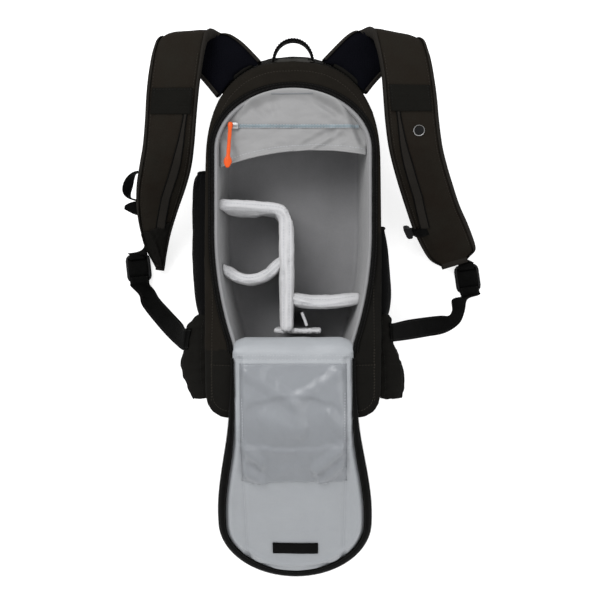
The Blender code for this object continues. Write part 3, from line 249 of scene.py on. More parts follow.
def spaced(points, step, closed=False):
    """Points of a line at even distances of about a step."""
    line = np.array([tuple(p) for p in points], float)
    if closed:
        line = np.vstack([line, line[:1]])
    lengths = np.linalg.norm(np.diff(line, axis=0), axis=1)
    along = np.concatenate([[0.0], np.cumsum(lengths)])
    count = max(2, int(round(along[-1] / step)))
    places = np.linspace(0.0, along[-1], count + 1)
    if closed:
        places = places[:-1]
    return [Vector([np.interp(s, along, line[:, k]) for k in range(3)]) for s in places]


def resampled(points, count):
    """Closed plan outline as this many evenly spaced points."""
    line = np.array(points + points[:1], float)
    lengths = np.linalg.norm(np.diff(line, axis=0), axis=1)
    along = np.concatenate([[0.0], np.cumsum(lengths)])
    places = np.linspace(0.0, along[-1], count + 1)[:-1]
    return list(zip(np.interp(places, along, line[:, 0]), np.interp(places, along, line[:, 1])))


def directions(points, closed=False):
    """Unit direction of a line at each of its points."""
    count = len(points)
    result = []
    for index in range(count):
        ahead = points[(index + 1) % count] if closed else points[min(count - 1, index + 1)]
        behind = points[index - 1] if closed or index else points[0]
        result.append((ahead - behind).normalized())
    return result


def up_at(towards, point):
    """Direction that a surface faces at a point; towards may be a function."""
    return towards(point) if callable(towards) else towards


def across_and_out(along, out):
    """Unit vectors across a line and out from it, square to its direction."""
    across = along.cross(out).normalized()
    return across, across.cross(along).normalized()


def circle_point(centre, first, second, k, sides):
    """Point k of a ring with this many sides; first and second are its half axes."""
    angle = 2 * math.pi * k / sides
    return centre + first * math.cos(angle) + second * math.sin(angle)


def distance_to_piece(x, y, ax, ay, bx, by):
    """Distance of (x, y) from the straight piece between (ax, ay) and (bx, by)."""
    length = (bx - ax) ** 2 + (by - ay) ** 2
    share = min(1.0, max(0.0, ((x - ax) * (bx - ax) + (y - ay) * (by - ay)) / length))
    return math.hypot(x - ax - share * (bx - ax), y - ay - share * (by - ay))


def tree_of(points):
    """Search tree over points."""
    tree = KDTree(len(points))
    for index, point in enumerate(points):
        tree.insert(point, index)
    tree.balance()
    return tree


# Materials: cloth, tape, film, plastic and metal with their grain from nodes

def new_material(name):
    material = bpy.data.materials.new(name)
    material.use_nodes = True
    return material, material.node_tree, material.node_tree.nodes["Principled BSDF"]


def add_node(tree, kind, **settings):
    """Shader node; settings that start with in_ are values of its inputs."""
    node = tree.nodes.new(kind)
    for key, value in settings.items():
        if key.startswith("in_"):
            node.inputs[key[3:].replace("_", " ").title()].default_value = value
        else:
            setattr(node, key, value)
    return node


def add_texture(tree, kind, coordinate, **settings):
    node = add_node(tree, kind, **settings)
    tree.links.new(coordinate, node.inputs["Vector"])
    return node


def mixed_height(tree, first, factor, second):
    """Output that holds first times factor, plus second."""
    node = add_node(tree, "ShaderNodeMath", operation="MULTIPLY_ADD")
    tree.links.new(first, node.inputs[0])
    node.inputs[1].default_value = factor
    tree.links.new(second, node.inputs[2])
    return node.outputs["Value"]


def paint(tree, shader, value, dark, light, start=0.0, end=1.0):
    """Base colour between dark and light, by a value."""
    ramp = add_node(tree, "ShaderNodeValToRGB")
    low, high = ramp.color_ramp.elements
    low.position = start
    high.position = end
    low.color = (*dark, 1.0)
    high.color = (*light, 1.0)
    tree.links.new(value, ramp.inputs["Fac"])
    tree.links.new(ramp.outputs["Color"], shader.inputs["Base Color"])


def emboss(tree, shader, height, strength, distance):
    """Relief that the light catches, from a height output."""
    bump = add_node(tree, "ShaderNodeBump", in_strength=strength, in_distance=distance)
    tree.links.new(height, bump.inputs["Height"])
    tree.links.new(bump.outputs["Normal"], shader.inputs["Normal"])


def set_inputs(shader, **values):
    """Set inputs of a shader node; base_color stands for the input Base Color, and so on."""
    for key, value in values.items():
        name = key.replace("_", " ").title().replace("Ior", "IOR")
        shader.inputs[name].default_value = value


def scaled_colour(colour, factor):
    return [min(1.0, c * factor) for c in colour]


def cloth_material(name, colour, roughness=0.85, grain=1100.0, regular=0.1, depth=0.25, sheen=0.25,
                   mottle=0.16, second=None, shine=0.02):
    """Woven or brushed cloth: mottled colour, a grain that the light catches and a soft sheen.

    The grain is a lattice of cells: even at regular 0, felt-like at 1.
    """
    material, tree, shader = new_material(name)
    coordinate = add_node(tree, "ShaderNodeTexCoord").outputs["Object"]
    large = add_texture(tree, "ShaderNodeTexNoise", coordinate, in_scale=28.0, in_detail=4.0,
                        in_roughness=0.6)
    fine = add_texture(tree, "ShaderNodeTexNoise", coordinate, in_scale=480.0, in_detail=3.0,
                       in_roughness=0.7)
    cells = add_texture(tree, "ShaderNodeTexVoronoi", coordinate, in_scale=grain, in_randomness=regular)
    spots = mixed_height(tree, fine.outputs["Fac"], 0.55, large.outputs["Fac"])
    dark = scaled_colour(colour, 1 - mottle)
    light = scaled_colour(second or colour, 1 + mottle)
    paint(tree, shader, spots, dark, light, 0.45, 1.05)
    height = mixed_height(tree, cells.outputs["Distance"], 0.9, fine.outputs["Fac"])
    emboss(tree, shader, height, depth, 0.0006)
    set_inputs(shader, roughness=roughness, sheen_weight=sheen, sheen_roughness=0.5, specular_ior_level=shine)
    return material


def tape_material(name, colour, ribs=900.0, roughness=0.6, depth=0.5, shine=0.02):
    """Webbing or tape: fine ribs across its length, read from the strip's own UV in metres."""
    material, tree, shader = new_material(name)
    coordinates = add_node(tree, "ShaderNodeTexCoord")
    wave = add_texture(tree, "ShaderNodeTexWave", coordinates.outputs["UV"], bands_direction="X",
                       in_scale=ribs, in_distortion=0.6, in_detail=1.0)
    across = add_texture(tree, "ShaderNodeTexWave", coordinates.outputs["UV"], bands_direction="Y",
                         in_scale=ribs * 0.55, in_distortion=0.3)
    height = mixed_height(tree, wave.outputs["Fac"], 0.7, across.outputs["Fac"])
    emboss(tree, shader, height, depth, 0.0005)
    spots = add_texture(tree, "ShaderNodeTexNoise", coordinates.outputs["Object"], in_scale=60.0,
                        in_detail=5.0, in_roughness=0.65)
    dark = [c * 0.75 for c in colour]
    light = [c * 1.3 for c in colour]
    paint(tree, shader, spots.outputs["Fac"], dark, light, 0.35, 0.75)
    set_inputs(shader, roughness=roughness, sheen_weight=0.0, specular_ior_level=shine)
    return material


def moulded_material(name, colour, roughness, metallic=0.0, grain=700.0, depth=0.08, coat=0.0):
    """Moulded plastic or cast metal: faint grain, and roughness that varies a little."""
    material, tree, shader = new_material(name)
    coordinate = add_node(tree, "ShaderNodeTexCoord").outputs["Object"]
    fine = add_texture(tree, "ShaderNodeTexNoise", coordinate, in_scale=grain, in_detail=3.0)
    wear = add_texture(tree, "ShaderNodeTexNoise", coordinate, in_scale=120.0, in_detail=4.0)
    paint(tree, shader, wear.outputs["Fac"], [c * 0.85 for c in colour], scaled_colour(colour, 1.15))
    rough = add_node(tree, "ShaderNodeMapRange", in_to_min=roughness * 0.8,
                     in_to_max=min(1.0, roughness * 1.25))
    tree.links.new(wear.outputs["Fac"], rough.inputs["Value"])
    tree.links.new(rough.outputs["Result"], shader.inputs["Roughness"])
    emboss(tree, shader, fine.outputs["Fac"], depth, 0.0004)
    set_inputs(shader, metallic=metallic, specular_ior_level=0.5 if metallic else 0.12, coat_weight=coat)
    return material


def film_material():
    """Thin translucent cloth of the door's pocket."""
    material = cloth_material("pocket_film", (0.255, 0.27, 0.29), grain=1000, depth=0.2, sheen=0.1,
                              mottle=0.04, roughness=0.3)
    set_inputs(material.node_tree.nodes["Principled BSDF"], alpha=0.62, specular_ior_level=0.6)
    return material


BODY_CLOTH = cloth_material("body_cloth", (0.0065, 0.0062, 0.0055), grain=900, depth=0.45, sheen=0.0)
FRAME_CLOTH = cloth_material("frame_cloth", (0.0095, 0.0082, 0.0066), grain=900, depth=0.45, sheen=0.0)
STRAP_CLOTH = cloth_material("strap_cloth", (0.0132, 0.0100, 0.0076), grain=820, depth=0.5, sheen=0.0,
                             second=(0.0112, 0.0100, 0.0080))
PATCH_CLOTH = cloth_material("patch_cloth", (0.0062, 0.0060, 0.0052), grain=700, depth=0.6, sheen=0.0)
EDGE_CLOTH = cloth_material("edge_cloth", (0.0150, 0.0135, 0.0118), grain=1000, depth=0.4, sheen=0.0)
AIR_MESH = cloth_material("air_mesh", (0.0020, 0.0021, 0.0034), grain=330, regular=0.05, depth=1.0, sheen=0.0,
                          roughness=0.9)
LINING_CLOTH = cloth_material("lining_cloth", (0.20, 0.20, 0.205), grain=1500, regular=0.8, depth=0.3,
                              sheen=0.2, mottle=0.08)
DIVIDER_CLOTH = cloth_material("divider_cloth", (0.435, 0.435, 0.445), grain=1500, regular=0.9, depth=0.45,
                               sheen=0.3, mottle=0.07)
POCKET_CLOTH = cloth_material("pocket_cloth", (0.245, 0.245, 0.247), grain=1200, depth=0.3, sheen=0.15,
                              mottle=0.05)
DOOR_CLOTH = cloth_material("door_cloth", (0.262, 0.275, 0.291), grain=1150, depth=0.3, sheen=0.12,
                            mottle=0.04, roughness=0.42, shine=0.45)
STRETCH_MESH = cloth_material("stretch_mesh", (0.0035, 0.0035, 0.0036), grain=420, regular=0.05, depth=1.0,
                              sheen=0.0, roughness=0.75)
ZIP_TAPE = tape_material("zip_tape", (0.0040, 0.0038, 0.0036), ribs=700, depth=0.4)
BINDING = tape_material("binding_tape", (0.0034, 0.0034, 0.0033), ribs=560, depth=0.6)
WEBBING = tape_material("webbing", (0.0036, 0.0036, 0.0035), ribs=420, roughness=0.6, depth=0.8)
PALE_BAND = tape_material("pale_band", (0.040, 0.039, 0.036), ribs=500, depth=0.5)
PALE_ZIP = tape_material("pale_zip", (0.25, 0.30, 0.33), ribs=500, depth=0.4)
LABEL = tape_material("label_patch", (0.0030, 0.0030, 0.0030), ribs=900, depth=0.25)
BLACK_THREAD = moulded_material("black_thread", (0.006, 0.006, 0.0055), 0.6)
BROWN_THREAD = moulded_material("brown_thread", (0.022, 0.019, 0.015), 0.6)
GREY_THREAD = moulded_material("grey_thread", (0.36, 0.37, 0.39), 0.6)
DIM_THREAD = moulded_material("dim_thread", (0.15, 0.16, 0.17), 0.6)
COIL = moulded_material("zip_coil", (0.006, 0.006, 0.006), 0.4)
PALE_COIL = moulded_material("pale_coil", (0.30, 0.36, 0.39), 0.45)
BLACK_PLASTIC = moulded_material("black_plastic", (0.0040, 0.0040, 0.0043), 0.45, depth=0.15)
ORANGE_PLASTIC = moulded_material("orange_plastic", (0.56, 0.074, 0.010), 0.42, coat=0.1)
METAL = moulded_material("metal", (0.33, 0.33, 0.33), 0.36, metallic=1.0, depth=0.05)
POCKET_FILM = film_material()


# Meshes

MADE = []  # names of the pieces made here


def carry(item, nodes=()):
    """Let a piece ride on the bag, in place of these solids."""
    MADE.append(item.name)
    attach(item, "root")
    if nodes:
        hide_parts(*nodes)
    return item


def add_piece(name, verts, faces, material, nodes=(), uvs=None):
    """Mesh object that rides on the bag; uvs holds one pair for each vertex."""
    mesh = bpy.data.meshes.new(name)
    mesh.from_pydata([tuple(v) for v in verts], [], faces)
    if uvs is not None:
        layer = mesh.uv_layers.new(name="strip")
        for loop in mesh.loops:
            layer.data[loop.index].uv = uvs[loop.vertex_index]
    mesh.validate()
    mesh.shade_smooth()
    mesh.materials.append(material)
    item = bpy.data.objects.new(name, mesh)
    bpy.context.scene.collection.objects.link(item)
    return carry(item, nodes)


def loft_data(sections, ring=False):
    """Vertices and faces of a skin over equal closed sections."""
    size = len(sections[0])
    verts = [point for section in sections for point in section]
    faces = []
    rows = len(sections)
    for row in range(rows if ring else rows - 1):
        after = (row + 1) % rows
        for i in range(size):
            j = (i + 1) % size
            faces.append((row * size + i, row * size + j, after * size + j, after * size + i))
    if not ring:
        faces.append(tuple(range(size))[::-1])
        faces.append(tuple((rows - 1) * size + i for i in range(size)))
    return verts, faces


def outward(item):
    """Turn the faces of a closed mesh to the outside."""
    data = bmesh.new()
    data.from_mesh(item.data)
    bmesh.ops.recalc_face_normals(data, faces=data.faces)
    data.to_mesh(item.data)
    data.free()
    return item


def loft(name, sections, material, nodes=(), ring=False, sharp=None):
    """Closed piece over sections; sharp keeps the edges over an angle in degrees."""
    verts, faces = loft_data(sections, ring)
    item = outward(add_piece(name, verts, faces, material, nodes))
    if sharp:
        item.data.set_sharp_from_angle(angle=math.radians(sharp))
    return item


def plain_object(name, sections):
    """Closed object without a material over sections."""
    item = bpy.data.objects.new(name, bpy.data.meshes.new(name))
    verts, faces = loft_data(sections)
    item.data.from_pydata([tuple(v) for v in verts], [], faces)
    bpy.context.scene.collection.objects.link(item)
    return outward(item)


def grid_data(over, under, columns, rows):
    """Vertices and faces of a thin sheet: two grids of points, row by row, joined at the border."""
    size = columns + 1
    shift = len(over)
    faces = []
    for row in range(rows):
        for column in range(columns):
            a = row * size + column
            faces.append((a, a + 1, a + size + 1, a + size))
            faces.append((shift + a, shift + a + size, shift + a + size + 1, shift + a + 1))
    border = list(range(size))
    border += [row * size + columns for row in range(1, rows + 1)]
    border += [rows * size + column for column in range(columns - 1, -1, -1)]
    border += [row * size for row in range(rows - 1, 0, -1)]
    for a, b in zip(border, border[1:] + border[:1]):
        faces.append((a, b, shift + b, shift + a))
    return over + under, faces


def read_points(mesh, kind="co"):
    """Places or normals of a mesh's vertices as an array."""
    flat = np.empty(len(mesh.vertices) * 3)
    mesh.vertices.foreach_get(kind, flat)
    return flat.reshape(-1, 3)


def points_of(item):
    return read_points(item.data)


def normals_of(item):
    return read_points(item.data, "normal")


def set_points(item, points):
    item.data.vertices.foreach_set("co", np.asarray(points, float).ravel())
    item.data.update()


def applied(item):
    """Replace an object's mesh by what its modifiers make of it."""
    graph = bpy.context.evaluated_depsgraph_get()
    mesh = bpy.data.meshes.new_from_object(item.evaluated_get(graph), depsgraph=graph)
    old = item.data
    item.modifiers.clear()
    item.data = mesh
    bpy.data.meshes.remove(old)
    mesh.shade_smooth()
    return item


def subdivided(item, levels):
    """Smooth a piece by splitting its faces this many times."""
    modifier = item.modifiers.new("smooth", "SUBSURF")
    modifier.levels = levels
    modifier.render_levels = levels
    return applied(item)


def remeshed(item, voxel):
    """Rebuild a closed piece from even small faces."""
    modifier = item.modifiers.new("remesh", "REMESH")
    modifier.mode = "VOXEL"
    modifier.voxel_size = voxel
    return applied(item)


def relaxed(item, factor, rounds):
    """Even out a piece's points."""
    modifier = item.modifiers.new("relax", "SMOOTH")
    modifier.factor = factor
    modifier.iterations = rounds
    return applied(item)


def cut(item, cutter, operation):
    """Keep what INTERSECT or DIFFERENCE with the cutter leaves."""
    modifier = item.modifiers.new("cut", "BOOLEAN")
    modifier.operation = operation
    modifier.solver = "EXACT"
    modifier.object = cutter
    applied(item)
    return item


# Frames of a pad's simulation, and its cloth
SIM_FRAMES = 16
SIM_CLOTH = {
    "quality": 5,
    "mass": 0.3,
    "tension_stiffness": 15,
    "compression_stiffness": 15,
    "bending_stiffness": 0.4,
    "use_pressure": True,
}


def blown(item, pressure=4.0, cap=0.002, slack=0.0, keep=None):
    """Cloth simulation of a closed pad under inner pressure; no point moves further than the cap.

    slack lets the cloth grow a little, so that it puckers. keep gives how free a point is, 0 to 1.
    """
    scene = bpy.context.scene
    start = points_of(item)
    modifier = item.modifiers.new("cloth", "CLOTH")
    for key, value in SIM_CLOTH.items():
        setattr(modifier.settings, key, value)
    modifier.settings.uniform_pressure_force = pressure
    modifier.settings.shrink_min = -slack
    modifier.settings.effector_weights.gravity = 0.0
    modifier.point_cache.frame_start = 1
    modifier.point_cache.frame_end = SIM_FRAMES
    for number in range(1, SIM_FRAMES + 1):
        scene.frame_set(number)
    shaped = item.evaluated_get(bpy.context.evaluated_depsgraph_get())
    end = read_points(shaped.to_mesh())
    shaped.to_mesh_clear()
    item.modifiers.remove(modifier)
    scene.frame_set(1)
    move = end - start
    length = np.linalg.norm(move, axis=1, keepdims=True)
    move *= np.minimum(1.0, cap / np.maximum(length, 1e-9))
    if keep is not None:
        move *= np.array([keep(Vector(p)) for p in start])[:, None]
    set_points(item, start + move)
    return item


def displaced(item, amount):
    """Move each vertex along its normal; amount(point, normal) is in metres."""
    points, normals = points_of(item), normals_of(item)
    shifts = np.array([amount(Vector(p), Vector(n)) for p, n in zip(points, normals)])
    set_points(item, points + normals * shifts[:, None])
    return item


def pressed(item, lines, width, depth, only=None):
    """Press channels along lines into a piece, as a seam pulls its cloth in."""
    tree = tree_of([point for line in lines for point in line])

    def amount(point, normal):
        away = tree.find(point)[2]
        if away > width or (only and not only(point, normal)):
            return 0.0
        return -depth * (1 - smooth_share(away / width))

    return displaced(item, amount)


def wrinkled(item, height, scale, seed, only=None):
    """Soft folds all over a piece; only(point, normal) gives their share at a place."""
    def amount(point, normal):
        share = only(point, normal) if only else 1.0
        return share * height * fold(point, scale, seed) if share else 0.0

    return displaced(item, amount)


def surface_of(*items):
    """Search tree over the faces of some pieces."""
    verts, faces = [], []
    for item in items:
        base = len(verts)
        verts += [v.co.copy() for v in item.data.vertices]
        faces += [tuple(base + i for i in face.vertices) for face in item.data.polygons]
    return BVHTree.FromPolygons(verts, faces)


def facing(surface):
    """Direction in which a surface faces next to a point."""
    return lambda point: surface.find_nearest(point)[1]


def snapped(line, surface, lift=0.0):
    """Line moved to the nearest points of a surface."""
    result = []
    for point in line:
        place, normal, _, _ = surface.find_nearest(point)
        result.append(place + normal * lift)
    return result


def dropped(line, surface, lift=0.0):
    """Line dropped straight down on a surface."""
    result = []
    for point in line:
        hit = surface.ray_cast(point + UP * 0.03, -UP)[0]
        if hit:
            result.append(hit + UP * lift)
    return result


def tube(name, points, radius, material, towards=UP, sides=8, closed=False, nodes=(), flat=1.0):
    """Round cord or piping along a line; flat squeezes it along towards."""
    sections = []
    for point, along in zip(points, directions(points, closed)):
        across, out = across_and_out(along, up_at(towards, point))
        sections.append([circle_point(point, across * radius, out * radius * flat, k, sides)
                         for k in range(sides)])
    return loft(name, sections, material, nodes, ring=closed)


# Stitches: sides of a thread, and its rings as place along, width and height
STITCH_RADIUS = 0.00038
STITCH_LENGTH = 0.0026
STITCH_PITCH = 0.0036
THREAD_SIDES = 5
THREAD_RINGS = ((-0.5, 0.35, -0.7), (-0.3, 1.0, 0.3), (0.3, 1.0, 0.3), (0.5, 0.35, -0.7))


def many_lofts(name, lofts, material):
    """One piece of many small closed lofts."""
    verts, faces = [], []
    for sections in lofts:
        base = len(verts)
        more, sides = loft_data(sections)
        verts += more
        faces += [tuple(base + i for i in face) for face in sides]
    return outward(add_piece(name, verts, faces, material))


def stitched(name, lines, material, slot, towards=UP, radius=STITCH_RADIUS, length=STITCH_LENGTH,
             pitch=STITCH_PITCH):
    """Rows of stitches: short rounded threads whose ends dip into the cloth."""
    threads = []
    for line in lines:
        places = spaced(line, pitch)
        for point, along in zip(places, directions(places)):
            across, out = across_and_out(along, up_at(towards, point))
            threads.append([
                [circle_point(point + along * length * step + out * radius * high, across * radius * wide,
                              out * radius * wide, k, THREAD_SIDES) for k in range(THREAD_SIDES)]
                for step, wide, high in THREAD_RINGS
            ])
    return many_lofts(name, threads, material)


def sewn(name, lines, surface, material, slot, lift=0.0, **sizes):
    """Stitches along lines that are dropped on a surface."""
    placed = [snapped(spaced(line, 0.002), surface, lift) for line in lines]
    return stitched(name, placed, material, slot, facing(surface), **sizes)


# Hook of a zip's coil: place across as a share of its reach, and height
COIL_PROFILE = ((-0.4, -0.6), (0.2, 0.7), (0.75, 0.75), (1.0, 0.1), (0.7, -0.6), (-0.3, -0.8))


def coiled_zip(name, line, inwards, material, slot, towards=UP, pitch=0.0016, reach=0.0022, radius=0.00042):
    """One side of a coil zip: a row of small hooked teeth along the tape's edge."""
    teeth = []
    places = spaced(line, pitch)
    for point, along in zip(places, directions(places)):
        out = up_at(towards, point)
        side = along.cross(out).normalized() * inwards
        teeth.append([
            [circle_point(point + side * reach * across + out * radius * 1.8 * high, along * radius,
                          out * radius * 0.8, k, THREAD_SIDES) for k in range(THREAD_SIDES)]
            for across, high in COIL_PROFILE
        ])
    return many_lofts(name, teeth, material)


# Share of a band's thickness that is missing at its edges
STRIP_EDGE = 0.3


def strip(name, rows, thickness, material, nodes=(), across=6):
    """Flat band through rows of (centre, half width vector), with soft edges and UV in metres."""
    shares = [-1 + 2 * k / across for k in range(across + 1)]
    top = [(share, 0.5 * (1 - STRIP_EDGE * abs(share) ** 6)) for share in shares]
    profile = top + [(share, -high) for share, high in reversed(top)]
    centres = [row[0] for row in rows]
    sections, uvs = [], []
    along = 0.0
    for index, (centre, half) in enumerate(rows):
        if index:
            along += (centre - centres[index - 1]).length
        ahead = centres[min(len(rows) - 1, index + 1)]
        behind = centres[max(0, index - 1)]
        normal = (ahead - behind).cross(half).normalized() * thickness
        sections.append([centre + half * share + normal * high for share, high in profile])
        uvs += [(along, half.length * share) for share, _ in profile]
    verts, faces = loft_data(sections)
    return outward(add_piece(name, verts, faces, material, nodes, uvs))


def banded(name, rows, thickness, material, slot, nodes=(), stitches=None):
    """Webbing through rows of (centre, half width), smoothed, with a row of stitches along each edge when a
    thread is given.
    """
    numbers = [(*centre, *half) for centre, half in rows]
    fine = [(Vector(row[:3]), Vector(row[3:])) for row in smooth_rows(numbers, 5)]
    item = strip(name, fine, thickness, material, nodes, across=8)
    if not stitches:
        return
    lines = []
    for share in (-0.8, 0.8):
        line = []
        for index, (centre, half) in enumerate(fine):
            ahead = fine[min(len(fine) - 1, index + 1)][0] - fine[max(0, index - 1)][0]
            normal = ahead.cross(half).normalized()
            if normal.z < 0:
                normal = -normal
            line.append(centre + half * share + normal * thickness / 2)
        lines.append(line)
    stitched(name + "_stitches", lines, stitches, slot, facing(surface_of(item)))


def copy_of(node, name, material):
    """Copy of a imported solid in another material."""
    item = bpy.data.objects.new(name, NODES[node].data.copy())
    item.data.materials.clear()
    item.data.materials.append(material)
    bpy.context.scene.collection.objects.link(item)
    return item


def padded_copy(node, name, material, voxel=0.004, cap=0.0012, shrink=0.0006,
                slack=0.0, keep=None, rounds=6):
    """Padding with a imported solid's shape; it starts a little smaller and swells."""
    item = remeshed(copy_of(node, name, material), voxel)
    relaxed(item, 0.5, rounds)
    displaced(item, lambda point, normal: -shrink)
    blown(item, cap=cap, slack=slack, keep=keep)
    subdivided(item, 1)
    carry(item, (node,))
    return item


def bevelled_copy(node, name, material, width=0.0006, steps=2):
    """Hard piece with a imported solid's shape and rounded edges."""
    item = copy_of(node, name, material)
    modifier = item.modifiers.new("bevel", "BEVEL")
    modifier.width = width
    modifier.segments = steps
    modifier.limit_method = "ANGLE"
    modifier.angle_limit = math.radians(35)
    modifier.use_clamp_overlap = True
    applied(item)
    item.data.set_sharp_from_angle(angle=math.radians(42))
    return carry(item, (node,))


# Outlines of the body and of its opening

def arch_outline(low, top, shoulder, corner, power, half_at, count):
    """Closed plan outline with round low corners and an arched top, evenly spaced."""
    right = [(0.0, low)]
    for step in range(9):
        angle = math.radians(90) * step / 8
        y = low + corner * (1 - math.cos(angle))
        right.append((half_at(y) - corner * (1 - math.sin(angle)), y))
    for step in range(1, 24):
        y = mix(low + corner, shoulder, step / 24)
        right.append((half_at(y), y))
    for step in range(32):
        angle = math.radians(90) * step / 32
        right.append((half_at(shoulder) * math.cos(angle) ** (2 / power),
                      mix(shoulder, top, math.sin(angle) ** (2 / power))))
    left = [(-x, y) for x, y in reversed(right[1:])]
    return resampled(right + [(0.0, top)] + left, count)


RING_COUNT = 240


def top_lean(z):
    """How far the body's top leans in at a height."""
    return TOP_SLOPE * max(0.0, z - TOP_SLOPE_START) / (BODY_DEPTH - TOP_SLOPE_START)


def body_ring(inset, z, count=RING_COUNT):
    """Body outline at a height, moved in by inset."""
    points = arch_outline(
        BODY_BOTTOM + inset, BODY_TOP - inset - top_lean(z), BODY_TOP - TOP_ARCH_HEIGHT,
        max(LEAST_CORNER, BODY_CORNER - inset), TOP_ARCH_POWER, lambda y: HALF_BODY - inset, count,
    )
    return [Vector((x, y, z)) for x, y in points]


def opening_half_width(y):
    """Half the opening's width, which tapers towards the hinge."""
    low_share = (OPENING_SHOULDER - OPENING_TAPER_START - y) / OPENING_TAPER_LENGTH
    return OPENING_HALF - OPENING_TAPER * min(1.0, max(0.0, low_share)) ** 2


def opening_ring(inset, z, count=RING_COUNT):
    """Outline of the opening at a height, moved in by inset."""
    points = arch_outline(
        OPENING_LOW + inset, OPENING_TOP - inset, OPENING_SHOULDER,
        max(LEAST_CORNER, OPENING_CORNER - inset), 2.0, lambda y: opening_half_width(y) - inset, count,
    )
    return [Vector((x, y, z)) for x, y in points]


def lining_inset(z):
    """Distance of the lining's inner face from the opening's outline at a height."""
    return mix(LINING_SLOPE, 0.0, (z - LINING_FLOOR) / (BODY_DEPTH - LINING_FLOOR)) + LINING_WALL


# Body: outer cloth, padded back frame, lining and the zip round the opening

def ring_levels():
    """Height and inset of the shell's outer rings, from its front face up to its seam."""
    levels = []
    for step in range(9):
        angle = math.radians(90) * step / 8
        levels.append((FRONT_ROUND * (1 - math.cos(angle)), FRONT_ROUND * (1 - math.sin(angle))))
    for step in range(1, 19):
        levels.append((mix(FRONT_ROUND, SHELL_TOP, step / 18), 0.0))
    return levels


# Slack of the shell's cloth over its sides, even folds and sharper creases, and heights of its seams
# over the front's round and under the rim
SHELL_FOLDS = 0.0022
SHELL_CREASES = 0.0016
SHELL_SEAM_INSET = 0.002
SHELL_RIM_SEAM = 0.007
SHELL_RIM_STITCH = 0.004


def make_shell():
    """Outer cloth with slack sides, two seams and piping."""
    outer = [body_ring(inset, z) for z, inset in ring_levels()]
    inner = [body_ring(SHELL_WALL, SHELL_TOP), body_ring(SHELL_WALL, TOP_SLOPE_START),
             body_ring(SHELL_WALL, FRONT_ROUND), body_ring(FRONT_ROUND, SHELL_WALL)]
    item = loft("body_shell", outer + inner, BODY_CLOTH, ["shell"])

    def slack(point, normal):
        outward_part = normal.x * point.x + normal.y * point.y
        if outward_part < 0.01 or point.z < 0.004:
            return 0.0
        belly = bump_at(point.z, SHELL_TOP * 0.55, SHELL_TOP * 0.5)
        folds = 0.5 + 0.5 * fold((point.x * 0.6, point.y, point.z * 1.4), 26, 1)
        crease = abs(fold((point.x, point.y * 0.7, point.z), 17, 2))
        return -belly * (SHELL_FOLDS * folds + SHELL_CREASES * (1 - min(1.0, crease * 5)))

    displaced(item, slack)
    front_seam = body_ring(0.0, FRONT_ROUND + SHELL_SEAM_INSET)
    pressed(item, [front_seam, body_ring(0.0, SHELL_TOP - SHELL_RIM_SEAM)], 0.003, 0.0006)
    surface = surface_of(item)
    tube("shell_piping", snapped(front_seam, surface, 0.0006), 0.0012, BINDING, facing(surface),
         closed=True)
    rim = body_ring(0.0, SHELL_TOP - SHELL_RIM_STITCH)
    sewn("shell_stitches", [rim + rim[:1]], surface, BLACK_THREAD, "body_cloth")
    return item


# Seams that frame the corners of the back panel beside the hinge: x, inner end and places in y; the
# insets of the panel's seam and of its stitches from the body's outline
CORNER_SEAM_X = 0.0985
CORNER_SEAM_END = 0.070
CORNER_SEAM_Y = (-0.140, -0.158, -0.200)
FRAME_SEAM_INSET = 0.0065
FRAME_STITCH_INSET = 0.0085


def corner_seams():
    """Lines of the sewn corners beside the hinge."""
    lines = []
    high, middle, low = CORNER_SEAM_Y
    for side in (-1, 1):
        x = CORNER_SEAM_X * side
        lines.append([Vector((x, high, BODY_DEPTH)), Vector((x, low, BODY_DEPTH))])
        lines.append([Vector((x, middle, BODY_DEPTH)),
                      Vector((side * CORNER_SEAM_END, middle - 0.001, BODY_DEPTH))])
    return lines


def make_back_frame():
    """Padded rim of the back panel with its seams."""
    rim = tree_of(opening_ring(0.0, BODY_DEPTH))

    def free(point):
        low_share = smooth_share((point.z - SHELL_TOP) / 0.008)
        return low_share * smooth_share((rim.find(point)[2] - 0.003) / 0.006)

    item = padded_copy("back_frame", "back_frame_pad", FRAME_CLOTH, voxel=0.003, cap=0.0016,
                       shrink=0.0003, slack=0.03, keep=free, rounds=4)
    seams = [spaced(line, 0.002) for line in corner_seams()]
    ring = [p for p in body_ring(FRAME_SEAM_INSET, BODY_DEPTH) if p.y > OPENING_LOW]
    pressed(item, seams + [ring], 0.004, 0.0012, lambda p, n: n.z > 0.1)
    wrinkled(item, 0.0008, 40, 3, lambda p, n: free(p) if n.z > 0.2 else 0.0)
    # Faces below the corner seams' upper end, and the right lower quarter, take the darker body cloth; the
    # rest keeps the lighter brownish frame cloth
    item.data.materials.append(BODY_CLOTH)
    for face in item.data.polygons:
        place = face.center
        face.material_index = 1 if place.y < CORNER_SEAM_Y[0] or place.x > 0 > place.y else 0
    surface = surface_of(item)
    seams.append(spaced(body_ring(FRAME_STITCH_INSET, BODY_DEPTH), 0.002))
    sewn("frame_stitches", seams, surface, BROWN_THREAD, "frame_cloth")
    return item, surface


# Height above the hinge at which the zip round the opening starts, and points of its rings
ZIP_START = 0.006
ZIP_RING_COUNT = 360


def open_part(ring):
    """Part of a ring round the opening that runs from hinge to hinge over the arch."""
    start = next(i for i, p in enumerate(ring) if p.x > 0 and p.y > OPENING_LOW + ZIP_START)
    return ring[start:len(ring) - start + 1]


